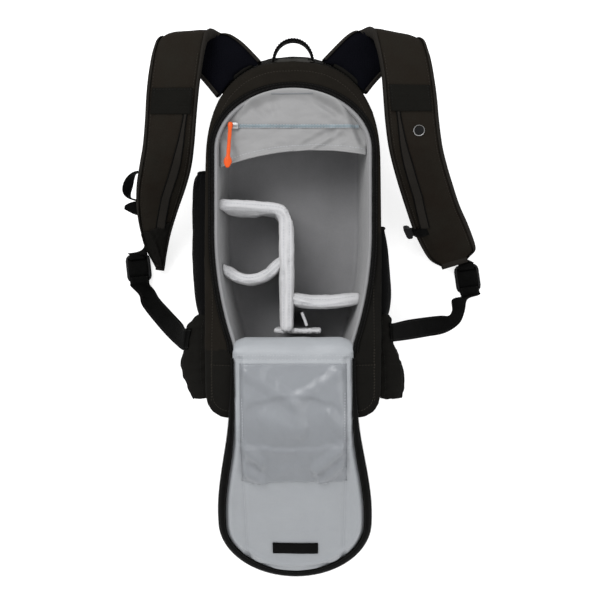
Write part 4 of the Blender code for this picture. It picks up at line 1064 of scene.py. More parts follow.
def make_rim_zip(surface):
    """Tape with its coil on the frame, round the opening."""
    inside = open_part(opening_ring(-GAP, BODY_DEPTH, ZIP_RING_COUNT))
    outside = open_part(opening_ring(-GAP - ZIP_TAPE_WIDTH, BODY_DEPTH, ZIP_RING_COUNT))
    count = min(len(inside), len(outside))
    inside, outside = spaced(inside, 0.003), spaced(outside, 0.003)
    rows = []
    for index in range(count):
        share = index / (count - 1)
        a = inside[round(share * (len(inside) - 1))]
        b = outside[round(share * (len(outside) - 1))]
        middle = a.lerp(b, 0.5)
        top = surface.ray_cast(middle + UP * 0.02, -UP)[0] or middle
        height = max(top.z, BODY_DEPTH) + GAP + 0.0006
        rows.append((Vector((middle.x, middle.y, height)), (b - a) / 2))
    strip("rim_zip_tape", rows, 0.0010, ZIP_TAPE, ["rim_zipper"], across=8)
    coil_line = [centre - half * 0.85 + UP * 0.0009 for centre, half in rows]
    coiled_zip("rim_zip_coil", coil_line, 1, COIL, "zip_tape")
    stitch_line = [centre + half * 0.55 + UP * 0.0006 for centre, half in rows]
    stitched("rim_zip_stitches", [spaced(stitch_line, 0.002)], BLACK_THREAD, "zip_tape")


# Depth of the waves in the lining's walls, and shares by which its floor's rings shrink
LINING_WAVES = 0.0009
FLOOR_RINGS = (0.7, 0.6, 0.6)


def make_lining():
    """Padded walls and floor of the bay."""
    under = LINING_FLOOR - LINING_WALL
    side = LINING_FLOOR + LINING_FLOOR_ROUND
    rim = BODY_DEPTH - LINING_WALL / 3
    outer = [opening_ring(LINING_SLOPE + LINING_FLOOR_ROUND, under),
             opening_ring(lining_inset(side) - LINING_WALL, side - LINING_WALL / 2),
             opening_ring(0.0, rim)]
    inner = []
    for step in range(7):
        angle = math.pi * step / 6
        inset = LINING_WALL / 2 * (1 - math.cos(angle))
        inner.append(opening_ring(inset, rim + LINING_WALL / 3 * math.sin(angle)))
    for step in range(1, 21):
        z = mix(rim, side, step / 20)
        inner.append(opening_ring(lining_inset(z), z))
    for step in range(1, 5):
        angle = math.radians(90) * step / 4
        inset = lining_inset(side) + LINING_FLOOR_ROUND * (1 - math.cos(angle))
        inner.append(opening_ring(inset, side - LINING_FLOOR_ROUND * math.sin(angle)))
    for share in FLOOR_RINGS:
        inner.append([Vector((p.x * share, p.y * share, LINING_FLOOR)) for p in inner[-1]])
    item = loft("lining_pad", outer + inner, LINING_CLOTH, ["lining"])

    def waves(point, normal):
        if point.z < side or normal.x * point.x + normal.y * (point.y - 0.01) > 0:
            return 0.0
        depth = smooth_share((rim - point.z) / 0.02)
        return -LINING_WAVES * depth * abs(fold((point.x, point.y, point.z * 0.5), 30, 4))

    displaced(item, waves)


# Door: padded panel, zip tape and binding round it, clear pocket and label

def door_edge_half(t):
    """Half width of the door, binding included, at a distance t from the hinge."""
    tip_start = DOOR_LENGTH - DOOR_WIDTH / 2
    if t > tip_start:
        share = min(1.0, (t - tip_start) / (DOOR_WIDTH / 2))
        return DOOR_WIDTH / 2 * math.sqrt(1 - share * share)
    share = smooth_share((t - DOOR_NECK_LENGTH) / DOOR_FLARE_LENGTH)
    return mix(DOOR_NECK_WIDTH, DOOR_WIDTH, share) / 2


def door_drop_angle():
    """Angle at which the binding at the door's tip reaches the ground."""
    length = DOOR_LENGTH - DOOR_SEAT_LENGTH
    drop = BODY_DEPTH + GAP - GROUND_GAP + (DOOR_THICKNESS - DOOR_EDGE_THICKNESS) / 2
    low, high = 0.0, math.radians(80)
    for _ in range(50):
        angle = (low + high) / 2
        straight = max(0.0, length - DOOR_BEND_RADIUS * angle)
        reached = DOOR_BEND_RADIUS * (1 - math.cos(angle)) + straight * math.sin(angle)
        if reached < drop:
            low = angle
        else:
            high = angle
    return low


DOOR_ANGLE = door_drop_angle()


def door_base(t):
    """Point and upward normal of the door's underside, as (y, z, ny, nz)."""
    z_seat = BODY_DEPTH + GAP
    if t <= DOOR_SEAT_LENGTH:
        return OPENING_LOW - t, z_seat, 0.0, 1.0
    bent = min(DOOR_ANGLE, (t - DOOR_SEAT_LENGTH) / DOOR_BEND_RADIUS)
    straight = max(0.0, t - DOOR_SEAT_LENGTH - DOOR_BEND_RADIUS * DOOR_ANGLE)
    y = OPENING_LOW - DOOR_SEAT_LENGTH - DOOR_BEND_RADIUS * math.sin(bent) - straight * math.cos(bent)
    z = z_seat - DOOR_BEND_RADIUS * (1 - math.cos(bent)) - straight * math.sin(bent)
    return y, z, -math.sin(bent), math.cos(bent)


def on_door(t, x, height):
    """Point above the door's underside; the door swings a little to one side."""
    y, z, ny, nz = door_base(t)
    return Vector((x + DOOR_SKEW * t / DOOR_LENGTH, y + ny * height, z + nz * height))


# Place of the binding's inner lines as a share of their inset: at the hinge, along the sides, at the tip
BINDING_NARROW = 0.28
BINDING_WIDE = 0.92
BINDING_TIP = 1.5
DOOR_TIP_START = DOOR_LENGTH - DOOR_WIDTH / 2


def door_route(inset, start=0.0, height=DOOR_THICKNESS, step=0.004, narrowed=False):
    """Line round the door at a distance from its edge; narrowed, less at the hinge and more at the tip."""
    count = int((DOOR_TIP_START - start) / step)
    half = []
    for i in range(count):
        t = mix(start, DOOR_TIP_START, i / count)
        widened = smooth_share((t - 0.01) / 0.13)
        share = mix(BINDING_NARROW, BINDING_WIDE, widened) if narrowed else 1.0
        half.append((t, door_edge_half(t) - inset * share))
    for i in range(31):
        angle = math.radians(90) * i / 30
        widened = smooth_share(math.sin(angle))
        share = mix(BINDING_WIDE, BINDING_TIP, widened) if narrowed else 1.0
        radius = DOOR_WIDTH / 2 - inset * share
        half.append((DOOR_TIP_START + radius * math.sin(angle), radius * math.cos(angle)))
    whole = half + [(t, -x) for t, x in reversed(half[:-1])]
    return [on_door(t, x, height) for t, x in whole]


# Distance of the seam under the door's roll from the hinge, half its length and the gap to the second
ROLL_SEAM = 0.001
ROLL_SEAM_HALF = 0.071
ROLL_SEAM_GAP = 0.0045

# Sewn line inside the door, beside the clear pocket and round above the tip
DOOR_SEAM_X = 0.0645
DOOR_SEAM_NARROWING = 0.003
DOOR_SEAM_END = 0.311
DOOR_SEAM_CORNER = 0.016


def door_seam():
    """Line of the seam round the door's middle."""
    corner_t = DOOR_SEAM_END - DOOR_SEAM_CORNER
    low_x = DOOR_SEAM_X - DOOR_SEAM_NARROWING
    corner_x = low_x - DOOR_SEAM_CORNER
    rows = [(mix(ROLL_SEAM, corner_t, i / 60), mix(DOOR_SEAM_X, low_x, i / 60)) for i in range(60)]
    for i in range(13):
        angle = math.radians(90) * i / 12
        rows.append((corner_t + DOOR_SEAM_CORNER * math.sin(angle),
                     corner_x + DOOR_SEAM_CORNER * math.cos(angle)))
    rows += [(t, -x) for t, x in reversed(rows)]
    return [on_door(t, x, DOOR_THICKNESS) for t, x in rows]


# The panel is wider over the hinge, where no binding runs, and its top corners are round
ROLL_WIDENING = 0.10
ROLL_CORNER = 0.050
ROLL_CORNER_DROP = 0.007


def widened_roll(item):
    """Widen the panel over the hinge and round its top corners."""
    points = points_of(item)
    for point in points:
        away = OPENING_LOW - point[1]
        reach = smooth_share(-away / 0.026)
        corner = smooth_share((abs(point[0]) - ROLL_CORNER) / 0.022)
        point[0] *= 1 + ROLL_WIDENING * (1 - smooth_share((away - 0.010) / 0.10))
        point[1] -= ROLL_CORNER_DROP * reach * corner
    set_points(item, points)


# Hollow beside the binding, and the crown that stands up inside it
DOOR_HOLLOW = 0.0014
DOOR_CROWN = 0.0022
DOOR_CROWN_INSET = 0.0175


def make_door():
    """Padded door with its sewn lines."""
    edge = tree_of(door_route(DOOR_EDGE_WIDTH, height=DOOR_THICKNESS / 2))
    crown = tree_of(door_route(DOOR_CROWN_INSET, narrowed=True))

    def free(point):
        return smooth_share((edge.find(point)[2] - 0.005) / 0.014)

    def hollow(point, normal):
        return -DOOR_HOLLOW * bump_at(edge.find(point)[2], 0.005, 0.008) if abs(normal.z) > 0.2 else 0.0

    def raised(point, normal):
        return DOOR_CROWN * bump_at(crown.find(point)[2], 0.0, 0.0065) if normal.z > 0.2 else 0.0

    item = padded_copy("door_panel", "door_pad", DOOR_CLOTH, voxel=0.0032, cap=0.0018,
                       shrink=0.0, slack=0.04, keep=free, rounds=4)
    displaced(item, hollow)
    displaced(item, raised)
    widened_roll(item)
    seam = spaced(door_seam(), 0.002)
    xs = spread(-ROLL_SEAM_HALF, ROLL_SEAM_HALF, 60)
    roll = [on_door(ROLL_SEAM, x, DOOR_THICKNESS) for x in xs]
    pressed(item, [seam], 0.006, 0.0022, lambda p, n: n.z > 0)
    pressed(item, [roll], 0.004, 0.0010, lambda p, n: n.z > 0)
    wrinkled(item, 0.0016, 20, 5, lambda p, n: free(p) if n.z > 0 else 0.0)
    surface = surface_of(item)
    second = [p + Vector((0.0, ROLL_SEAM_GAP, 0.0)) for p in roll]
    sewn("door_stitches", [seam, roll, second], surface, GREY_THREAD, "door_cloth")
    return surface


# Section of the door's binding, which wraps the pad's edge: inset from the outline and height
BINDING_OUTSIDE = (
    (0.0100, 0.0056),
    (0.0085, 0.0058),
    (0.0060, 0.0055),
    (0.0035, 0.0046),
    (0.0016, 0.0030),
    (0.0006, 0.0012),
)
BINDING_INSIDE = (
    (0.0100, 0.0049),
    (0.0080, 0.0048),
    (0.0060, 0.0043),
    (0.0042, 0.0034),
    (0.0028, 0.0022),
    (0.0022, 0.0008),
)
BINDING_STITCH = (0.0084, 0.0058)

# The zip tape outside the binding: insets of the lines that give its direction, and half its width
DOOR_TAPE_LINES = (0.0010, 0.0040)
DOOR_TAPE_HALF = 0.0016


def make_door_edge():
    """Binding round the panel, the zip tape outside it and the coil on the tape."""
    middle = DOOR_THICKNESS / 2
    profile = list(BINDING_OUTSIDE)
    profile += [(inset, -high) for inset, high in reversed(BINDING_OUTSIDE)]
    profile += [(inset, -high) for inset, high in BINDING_INSIDE]
    profile += list(reversed(BINDING_INSIDE))
    routes = [door_route(inset, height=middle + high, narrowed=True) for inset, high in profile]
    sections = [list(section) for section in zip(*routes)]
    item = loft("door_binding", sections, BINDING, ["door_edge"])
    outer, inner = [door_route(inset, height=middle + 0.0002) for inset in DOOR_TAPE_LINES]
    tape = [(out + (out - into) * 0.05, (out - into).normalized() * DOOR_TAPE_HALF)
            for out, into in zip(outer, inner)]
    strip("door_zip_tape", tape, 0.0009, ZIP_TAPE, across=4)
    coiled_zip("door_zip_coil", [centre + half * 0.9 for centre, half in tape], 1, COIL, "zip_tape")
    inset, high = BINDING_STITCH
    line = door_route(inset, height=middle + high, narrowed=True)
    sewn("door_binding_stitches", [line], surface_of(item), BLACK_THREAD, "zip_tape")


# Folds of the clear pocket: start and end as (share across, share along), height
FILM_FOLDS = (
    (-0.90, 0.06, 0.00, 0.30, 0.0030),
    (0.00, 0.30, 0.86, 0.06, 0.0026),
    (-0.60, 0.42, 0.20, 0.50, 0.0020),
    (-0.98, 0.88, -0.60, 0.98, 0.0044),
    (-0.98, 0.64, -0.62, 0.80, 0.0044),
    (0.40, 0.86, 0.98, 0.62, 0.0056),
    (0.50, 0.98, 0.98, 0.78, 0.0046),
    (0.70, 0.40, 0.98, 0.52, 0.0030),
)


# The film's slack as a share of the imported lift, its soft waves, its length over its half width, and
# half the width of a fold in half widths
FILM_SLACK = 0.4
FILM_WAVES = 0.0020
FILM_ASPECT = 1.2
FILM_FOLD_HALF = 0.12


def film_height(across, along):
    """Height of the film over the door, with its slack and folds."""
    sewn_share = smooth_share((1 - abs(across)) / 0.08) * smooth_share(along / 0.05)
    slack = DOOR_POCKET_LIFT * FILM_SLACK * smooth_share(along * 1.5)
    folds = 0.0
    for ax, ay, bx, by, height in FILM_FOLDS:
        ends = (ax, ay * FILM_ASPECT, bx, by * FILM_ASPECT)
        away = distance_to_piece(across, along * FILM_ASPECT, *ends)
        folds += height * bump_at(away, 0.0, FILM_FOLD_HALF)
    soft = FILM_WAVES * fold((across * 0.06, along * 0.07, 0.0), 45, 6)
    return max(0.0, slack + folds + soft) * sewn_share


# Thickness of the film, and its cells across and along
FILM_THICKNESS = 0.0005
FILM_COLUMNS = 72
FILM_ROWS = 84


def make_film(surface):
    """Clear pocket on the door, with its hem, seam and side stitches."""
    half = DOOR_POCKET_WIDTH / 2
    end = DOOR_POCKET_START + DOOR_POCKET_LENGTH
    over, under = [], []
    for row in range(FILM_ROWS + 1):
        along = row / FILM_ROWS
        t = DOOR_POCKET_START + DOOR_POCKET_LENGTH * along
        for column in range(FILM_COLUMNS + 1):
            across = -1 + 2 * column / FILM_COLUMNS
            place = on_door(t, half * across, DOOR_THICKNESS + 0.004)
            down = on_door(t, half * across, 0.0) - place
            hit = surface.ray_cast(place + down * -0.5, down.normalized())[0] or place
            up = -down.normalized()
            base = hit + up * (GAP + film_height(across, along))
            under.append(base)
            over.append(base + up * FILM_THICKNESS)
    verts, faces = grid_data(over, under, FILM_COLUMNS, FILM_ROWS)
    item = outward(add_piece("door_film", verts, faces, POCKET_FILM, ["door_pocket"]))
    film = surface_of(item)
    for name, t, radius, material in (("film_hem", end - 0.0008, 0.0012, DOOR_CLOTH),
                                      ("film_seam", end - 0.0060, 0.0004, DIM_THREAD)):
        line = [on_door(t, x, DOOR_THICKNESS) for x in spread(-half, half, 40)]
        tube(name, snapped(line, film, 0.0004), radius, material, facing(film), flat=0.7)
    sides = []
    for side in (-1, 1):
        sides.append([on_door(t, side * (half - 0.0025), DOOR_THICKNESS)
                      for t in spread(DOOR_POCKET_START, end, 40)])
    sewn("film_stitches", sides, film, GREY_THREAD, "door_cloth")


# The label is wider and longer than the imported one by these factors; corners of its sewn line
LABEL_GROWTH = (1.05, 1.25)
LABEL_STITCHES = ((-0.93, -0.72), (0.93, -0.72), (0.93, 0.72), (-0.93, 0.72), (-0.93, -0.72))


def make_label(surface):
    """Blank patch that is sewn on the door's low part."""
    half = LABEL_WIDTH / 2 * LABEL_GROWTH[0]
    length = LABEL_LENGTH * LABEL_GROWTH[1]
    rows = []
    for x in spread(-half, half, 30):
        top, normal, _, _ = surface.find_nearest(on_door(LABEL_PLACE, x, DOOR_THICKNESS))
        ahead = on_door(LABEL_PLACE + 0.001, x, 0.0) - on_door(LABEL_PLACE, x, 0.0)
        rows.append((top + normal * 0.0011, ahead.normalized() * length / 2))
    item = strip("label", rows, 0.0010, LABEL, ["door_label"], across=8)
    border = [on_door(LABEL_PLACE + b * length / 2, a * half, DOOR_THICKNESS + 0.0015)
              for a, b in LABEL_STITCHES]
    sewn("label_stitches", [spaced(border, 0.002)], surface_of(item), DIM_THREAD, "label_patch",
         radius=0.0003, length=0.0018, pitch=0.0026)


# Dividers with sewn tops

# Paths as shares: x of half the opening's width, y of the opening's length above the hinge
MAIN_DIVIDER = (
    (-1.00, 0.570),
    (-0.50, 0.561),
    (-0.20, 0.553),
    (-0.11, 0.537),
    (-0.085, 0.508),
    (-0.085, 0.400),
    (-0.085, 0.250),
    (-0.085, 0.105),
)
CURVED_DIVIDER = (
    (-0.955, 0.4250),
    (-0.945, 0.3650),
    (-0.86, 0.331),
    (-0.73, 0.303),
    (-0.57, 0.291),
    (-0.42, 0.299),
    (-0.30, 0.321),
    (-0.12, 0.376),
)
RIGHT_DIVIDER = (
    (-0.070, 0.232),
    (0.07, 0.216),
    (0.28, 0.207),
    (0.51, 0.209),
    (0.75, 0.218),
    (1.00, 0.230),
)


def bay_place(x_share, y_share):
    """Place in plan from shares of the opening's half width and length."""
    return x_share * OPENING_WIDTH / 2, OPENING_LOW + y_share * OPENING_LENGTH


def path_sides(path, thickness):
    """Points on both sides of a plan path."""
    sides = []
    for index, (x, y) in enumerate(path):
        ax, ay = path[max(0, index - 1)]
        bx, by = path[min(len(path) - 1, index + 1)]
        length = math.hypot(bx - ax, by - ay)
        nx, ny = -(by - ay) / length, (bx - ax) / length
        sides.append(((x + nx * thickness / 2, y + ny * thickness / 2),
                      (x - nx * thickness / 2, y - ny * thickness / 2)))
    return sides


def in_bay(point, margin):
    """True where a place lies inside the lining by a margin."""
    inset = lining_inset(point.z) + margin
    if point.y < OPENING_LOW + inset or point.y > OPENING_TOP - inset:
        return False
    half = opening_half_width(point.y) - inset
    if point.y > OPENING_SHOULDER:
        share = (point.y - OPENING_SHOULDER) / (OPENING_ARCH_HEIGHT - inset)
        half *= math.sqrt(max(0.0, 1 - share * share))
    return abs(point.x) < half


def fine_envelope(margin):
    """Cutter: the room inside the lining."""
    side = LINING_FLOOR + LINING_FLOOR_ROUND
    low = LINING_SLOPE + LINING_WALL + LINING_FLOOR_ROUND
    return plain_object("room", [
        opening_ring(low + margin, LINING_FLOOR + GAP),
        opening_ring(lining_inset(side) + margin, side),
        opening_ring(lining_inset(BODY_DEPTH) + margin, BODY_DEPTH),
    ])


def divider_sections(path, thickness, height):
    """Sections of an upright pad with a round crown, along a smoothed path."""
    base = LINING_FLOOR + GAP
    top = base + height
    places = smooth_rows([bay_place(*row) for row in path], 6)
    sections = []
    for (lx, ly), (rx, ry) in path_sides(places, thickness):
        section = [Vector((rx, ry, base)), Vector((rx, ry, mix(base, top, 0.5)))]
        for step in range(9):
            angle = math.pi * step / 8
            share = 0.5 - 0.5 * math.cos(angle)
            section.append(Vector((mix(rx, lx, share), mix(ry, ly, share),
                                   top - thickness * 0.42 * (1 - math.sin(angle)))))
        section += [Vector((lx, ly, mix(base, top, 0.5))), Vector((lx, ly, base))]
        sections.append(section)
    return sections


# Padding of the dividers: size of its cells, most that it swells, and its slack
DIVIDER_CELL = 0.0026
DIVIDER_SWELL = 0.0022
DIVIDER_SLACK = 0.04

# How much a divider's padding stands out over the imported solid
PLUMP = {"divider_main": 0.0014, "divider_right": 0.0006, "divider_curved": 0.0002}


def cut_divider(node, path, thickness, height):
    """Padding of a divider that ends at the lining and at the main divider."""
    item = plain_object(node + "_pad", divider_sections(path, thickness * 0.94, height))
    sections = divider_sections(MAIN_DIVIDER, DIVIDER_THICKNESS * 1.05, DIVIDER_HEIGHT * 1.3)
    wall = plain_object("wall", sections)
    for cutter, operation in ((fine_envelope(0.0012), "INTERSECT"), (wall, "DIFFERENCE")):
        cut(item, cutter, operation)
        bpy.data.objects.remove(cutter)
    item.data.materials.clear()
    item.data.materials.append(DIVIDER_CLOTH)
    remeshed(item, DIVIDER_CELL)
    relaxed(item, 0.5, 4)
    blown(item, cap=DIVIDER_SWELL, slack=DIVIDER_SLACK)
    subdivided(item, 1)
    carry(item, (node,))
    return item


def make_divider(node, path, thickness, height, seed):
    """Padded divider with two stitched lines along its top."""
    if node == "divider_main":
        item = padded_copy(node, node + "_pad", DIVIDER_CLOTH, voxel=DIVIDER_CELL,
                           cap=DIVIDER_SWELL, shrink=0.0006, slack=DIVIDER_SLACK, rounds=5)
    else:
        item = cut_divider(node, path, thickness, height)
    displaced(item, lambda p, n: PLUMP[node])
    wrinkled(item, 0.0011, 45, seed)
    top = LINING_FLOOR + GAP + height
    lines = [[], []]
    smooth = smooth_rows([bay_place(*row) for row in path], 6)
    for places in path_sides(smooth, thickness * 0.56):
        for line, (x, y) in zip(lines, places):
            if in_bay(Vector((x, y, top)), 0.005):
                line.append(Vector((x, y, top)))
    lines = [spaced(line, 0.002) for line in lines if len(line) > 2]
    pressed(item, [dropped(line, surface_of(item)) for line in lines], 0.0030, 0.0009)
    surface = surface_of(item)
    stitched(node + "_stitches", [dropped(line, surface) for line in lines], GREY_THREAD, "divider_cloth")


# Nap of the end tab's felt: its thickness, its coarse and fine waves
FELT_NAP = 0.0016
FELT_COARSE = 120
FELT_FINE = 420
FELT_FINE_HEIGHT = 0.0008


def make_end_tab():
    """Fuzzy sewn end of the main divider."""
    item = remeshed(copy_of("divider_end_tab", "divider_end_felt", DIVIDER_CLOTH), 0.0012)

    def nap(point, normal):
        share = 1.0 if normal.z > -0.5 else 0.3
        return FELT_NAP * (0.6 + 0.8 * fold(point, FELT_COARSE, 31)) * share

    displaced(item, nap)
    displaced(item, lambda p, n: FELT_FINE_HEIGHT * fold(p, FELT_FINE, 32, 2))
    return carry(item, ["divider_end_tab"])


# Pocket under the arch with its pale zip, slider and pull

# Sag of the pocket as shares: at both corners, less of it at the right one, its low edge's dip, and
# the belly across
POCKET_CORNER_SAG = 1.16
POCKET_CORNER_LEAN = 0.68
POCKET_DIP = 0.6
POCKET_BELLY = 0.25


def pocket_low_edge(x):
    """Low edge of the pocket, which hangs lower at its left corner."""
    share = x / (OPENING_WIDTH / 2)
    sag = POCKET_CORNER_SAG * share * share - POCKET_CORNER_LEAN * share
    return OPENING_TOP - POCKET_LENGTH - POCKET_SAG * sag


def pocket_height(x, along):
    """Top face of the pocket sheet; along runs from its low edge, 0, to the crown, 1."""
    share = x / (OPENING_WIDTH / 2)
    rim = BODY_DEPTH - POCKET_DEPTH_BELOW_RIM
    dip = (1 - smooth_share(along * 1.4)) * POCKET_DIP
    return rim - POCKET_SAG * dip - POCKET_BELLY * POCKET_SAG * share * share


def zip_along(x):
    """Share along the pocket at which its zip lies, level across the bay."""
    low = pocket_low_edge(x)
    return (OPENING_TOP - POCKET_ZIP_PLACE - low) / (OPENING_TOP + POCKET_OVERRUN - low)


def pocket_reach(x):
    """Upper end of the pocket at a place across: the lining's arch."""
    inset = lining_inset(BODY_DEPTH - POCKET_DEPTH_BELOW_RIM) + 2 * GAP
    half = OPENING_HALF - inset
    share = min(1.0, abs(x) / half)
    return OPENING_SHOULDER + (OPENING_ARCH_HEIGHT - inset) * math.sqrt(1 - share * share)


# Folds of the inner pocket: from (x, y) to (x, y) in metres, and depth
POCKET_FOLDS = (
    (0.062, 0.160, 0.084, 0.112, 0.0044),
    (0.022, 0.168, 0.052, 0.146, 0.0036),
    (0.004, 0.100, 0.046, 0.124, 0.0044),
    (0.026, 0.098, 0.060, 0.118, 0.0040),
    (-0.052, 0.160, -0.030, 0.142, 0.0026),
    (-0.084, 0.116, -0.070, 0.094, 0.0030),
    (-0.028, 0.172, -0.020, 0.150, 0.0024),
)


def pocket_surface(x, y, along):
    """Height of the pocket's cloth with its folds and waves."""
    z = pocket_height(x, along)
    for ax, ay, bx, by, depth in POCKET_FOLDS:
        z -= depth * bump_at(distance_to_piece(x, y, ax, ay, bx, by), 0.0, 0.008)
        z += depth * 0.4 * bump_at(distance_to_piece(x + 0.004, y + 0.006, ax, ay, bx, by), 0.0, 0.008)
    hem = bump_at(along, 0.0, 0.10)
    z += 0.0022 * fold((x, y, 0.0), 22, 7) * (1 - hem) + 0.0008 * hem
    z += 0.0012 * fold((x * 0.6, y * 1.6, 0.0), 55, 8) * (1 - hem)
    return z - 0.0014


# The pocket's upper edge lies over the rim out to this x, and dives under it over this width
COVER_HALF = 0.048
COVER_FADE = 0.030


def pocket_cover(x):
    """Share by which the pocket's upper edge lies over the lining's rim."""
    return 1 - smooth_share((abs(x) - COVER_HALF) / COVER_FADE)


# The pocket's cloth: thickness, cells across and along, and how far its upper edge lies over the rim
POCKET_THICKNESS = 0.0016
POCKET_COLUMNS = 90
POCKET_ROWS = 48
POCKET_RIM_REACH = 0.0048
POCKET_RIM_HEIGHT = 0.0026

# Short sewn line under the pocket's crown: from (x, y) to (x, y)
POCKET_SEAM = (-0.026, 0.1675, 0.024, 0.1681)


def make_inner_pocket():
    """Cloth of the pocket under the arch, with its hem and stitches."""
    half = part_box("inner_pocket")[1].x - 0.0006
    over, under = [], []
    for column in range(POCKET_COLUMNS + 1):
        x = mix(-half, half, column / POCKET_COLUMNS)
        cover = pocket_cover(x)
        low, high = pocket_low_edge(x), pocket_reach(x) + POCKET_RIM_REACH * cover
        whole = OPENING_TOP + POCKET_OVERRUN - low
        for row in range(POCKET_ROWS + 1):
            y = mix(low, high, row / POCKET_ROWS)
            z = pocket_surface(x, y, (y - low) / whole)
            z = mix(z, BODY_DEPTH + POCKET_RIM_HEIGHT, cover * smooth_share(1 - (high - y) / 0.014))
            over.append(Vector((x, y, z)))
            under.append(Vector((x, y, z - POCKET_THICKNESS)))
    verts, faces = grid_data(over, under, POCKET_ROWS, POCKET_COLUMNS)
    item = outward(add_piece("inner_pocket_cloth", verts, faces, POCKET_CLOTH,
                             ["inner_pocket"]))
    surface = surface_of(item)
    xs = spread(-half, half, 90)
    hem = dropped([Vector((x, pocket_low_edge(x) + 0.0010, BODY_DEPTH)) for x in xs], surface, -0.0004)
    tube("inner_pocket_hem", hem, 0.0014, POCKET_CLOTH, flat=0.8)
    line = [Vector((x, pocket_low_edge(x) + 0.0065, BODY_DEPTH)) for x in xs[1:-1]]
    stitched("inner_pocket_stitches", [dropped(line, surface)], GREY_THREAD, "pocket_cloth")
    ax, ay, bx, by = POCKET_SEAM
    seam = [Vector((mix(ax, bx, i / 20), mix(ay, by, i / 20), BODY_DEPTH)) for i in range(21)]
    tube("inner_pocket_seam", dropped(seam, surface), 0.0007, DIM_THREAD, sides=6)
    return surface


# Share of the bay's width that the pocket's zip leaves free at each end, and its coils' sizes
ZIP_END_SHARE = 1 / 12
POCKET_COIL = {"pitch": 0.0014, "reach": 0.0011, "radius": 0.00035}
COIL_OFFSET = Vector((0.0007, 0, 0))


def make_pocket_zip(surface):
    """Pale zip across the pocket."""
    half = OPENING_WIDTH / 2
    start, end = mix(-half, half, ZIP_END_SHARE), mix(-half, half, 1 - ZIP_END_SHARE)
    y = OPENING_TOP - POCKET_ZIP_PLACE
    rows = []
    for x in spread(start, end, 90):
        top = surface.ray_cast(Vector((x, y, BODY_DEPTH + 0.01)), -UP)[0]
        z = (top.z if top else pocket_height(x, zip_along(x))) + 0.0009
        rows.append((Vector((x, y, z)), Vector((0.0, POCKET_ZIP_WIDTH / 2, 0.0))))
    strip("inner_zip_tape", rows, 0.0008, PALE_ZIP, ["inner_pocket_zipper"])
    low = [centre + UP * 0.0008 for centre, _ in rows]
    high = [p + COIL_OFFSET for p in low]
    coiled_zip("inner_zip_coil_low", low, 1, PALE_COIL, "pale_zip", **POCKET_COIL)
    coiled_zip("inner_zip_coil_high", high, -1, PALE_COIL, "pale_zip", **POCKET_COIL)
    stitches = [[centre + half * 0.8 * side + UP * 0.0004 for centre, half in rows] for side in (-1, 1)]
    stitched("inner_zip_stitches", stitches, GREY_THREAD, "pale_zip")


def rounded_block(name, centre, size, corner, material, nodes=(), levels=4):
    """Block with rounded plan corners and softened top and bottom edges."""
    x, y, z = centre
    wide, deep, high = size
    soft = min(high * 0.35, corner * 0.7)
    angles = [math.radians(90) * step / levels for step in range(levels + 1)]
    low = [(soft * (1 - math.cos(angle)), soft * (1 - math.sin(angle))) for angle in angles]
    rows = low + [(high - height, inset) for height, inset in reversed(low)]
    sections = []
    for height, inset in rows:
        ring = []
        for k in range(32):
            angle = 2 * math.pi * (k + 0.5) / 32
            a, b = math.cos(angle), math.sin(angle)
            ring.append(Vector((x + math.copysign(wide / 2 - corner, a) + (corner - inset) * a,
                                y + math.copysign(deep / 2 - corner, b) + (corner - inset) * b, z + height)))
        sections.append(ring)
    return loft(name, sections, material, nodes, sharp=50)


def make_slider():
    """Metal body and bridge of the zip's slider."""
    low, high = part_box("zip_slider")
    centre = (low + high) / 2
    size = high - low
    rounded_block("slider_body", (centre.x, centre.y, low.z), (size.x, size.y, size.z * 0.45), 0.0022, METAL,
                  ["zip_slider"])
    bridge = []
    for step in range(13):
        angle = math.pi * step / 12
        bridge.append(Vector((centre.x - math.cos(angle) * size.x * 0.34, centre.y,
                              low.z + size.z * (0.35 + 0.5 * math.sin(angle)))))
    tube("slider_bridge", bridge, 0.0007, METAL, Vector((0, 1, 0)))


# The pull hangs beside the middle of its slider and at an angle, and its shaft is ribbed
PULL_SHIFT = -0.0040
PULL_TURN = math.radians(4)
PULL_RIB = 0.06
PULL_RIB_WAVES = 150
PULL_RIBBED = (0.2, 0.7)

# Moulded pull: share of its length, half width and half thickness as shares, from eye to tip
PULL_FORM = (
    (0.00, 0.40, 0.55),
    (0.03, 0.62, 0.85),
    (0.10, 0.64, 0.90),
    (0.16, 0.52, 0.80),
    (0.30, 0.48, 0.75),
    (0.60, 0.50, 0.80),
    (0.74, 0.56, 0.90),
    (0.80, 0.92, 1.00),
    (0.86, 1.10, 1.00),
    (0.93, 0.86, 1.00),
    (0.98, 0.52, 0.80),
    (1.00, 0.25, 0.40),
)


def make_pull():
    """Moulded pull, which hangs from the slider with its bulb at the end."""
    low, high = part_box("zip_pull")
    middle = (low.x + high.x) / 2 + PULL_SHIFT
    half, thick = (high.x - low.x) / 2, (high.z - low.z) / 2
    sections = []
    for along, wide, deep in smooth_rows(PULL_FORM, 5):
        down = (high.y - low.y) * along
        rib = 1.0
        if PULL_RIBBED[0] < along < PULL_RIBBED[1]:
            rib += PULL_RIB * math.sin(along * PULL_RIB_WAVES)
        section = []
        for k in range(20):
            angle = 2 * math.pi * k / 20
            across = half * wide * rib * math.cos(angle)
            section.append(Vector((middle - down * math.sin(PULL_TURN) + across * math.cos(PULL_TURN),
                                   high.y - down * math.cos(PULL_TURN) - across * math.sin(PULL_TURN),
                                   low.z + thick + thick * deep * math.sin(angle))))
        sections.append(section)
    loft("zip_pull_moulded", sections, ORANGE_PLASTIC, ["zip_pull"])


# Outside: side pockets of stretch mesh, wings and haul handle

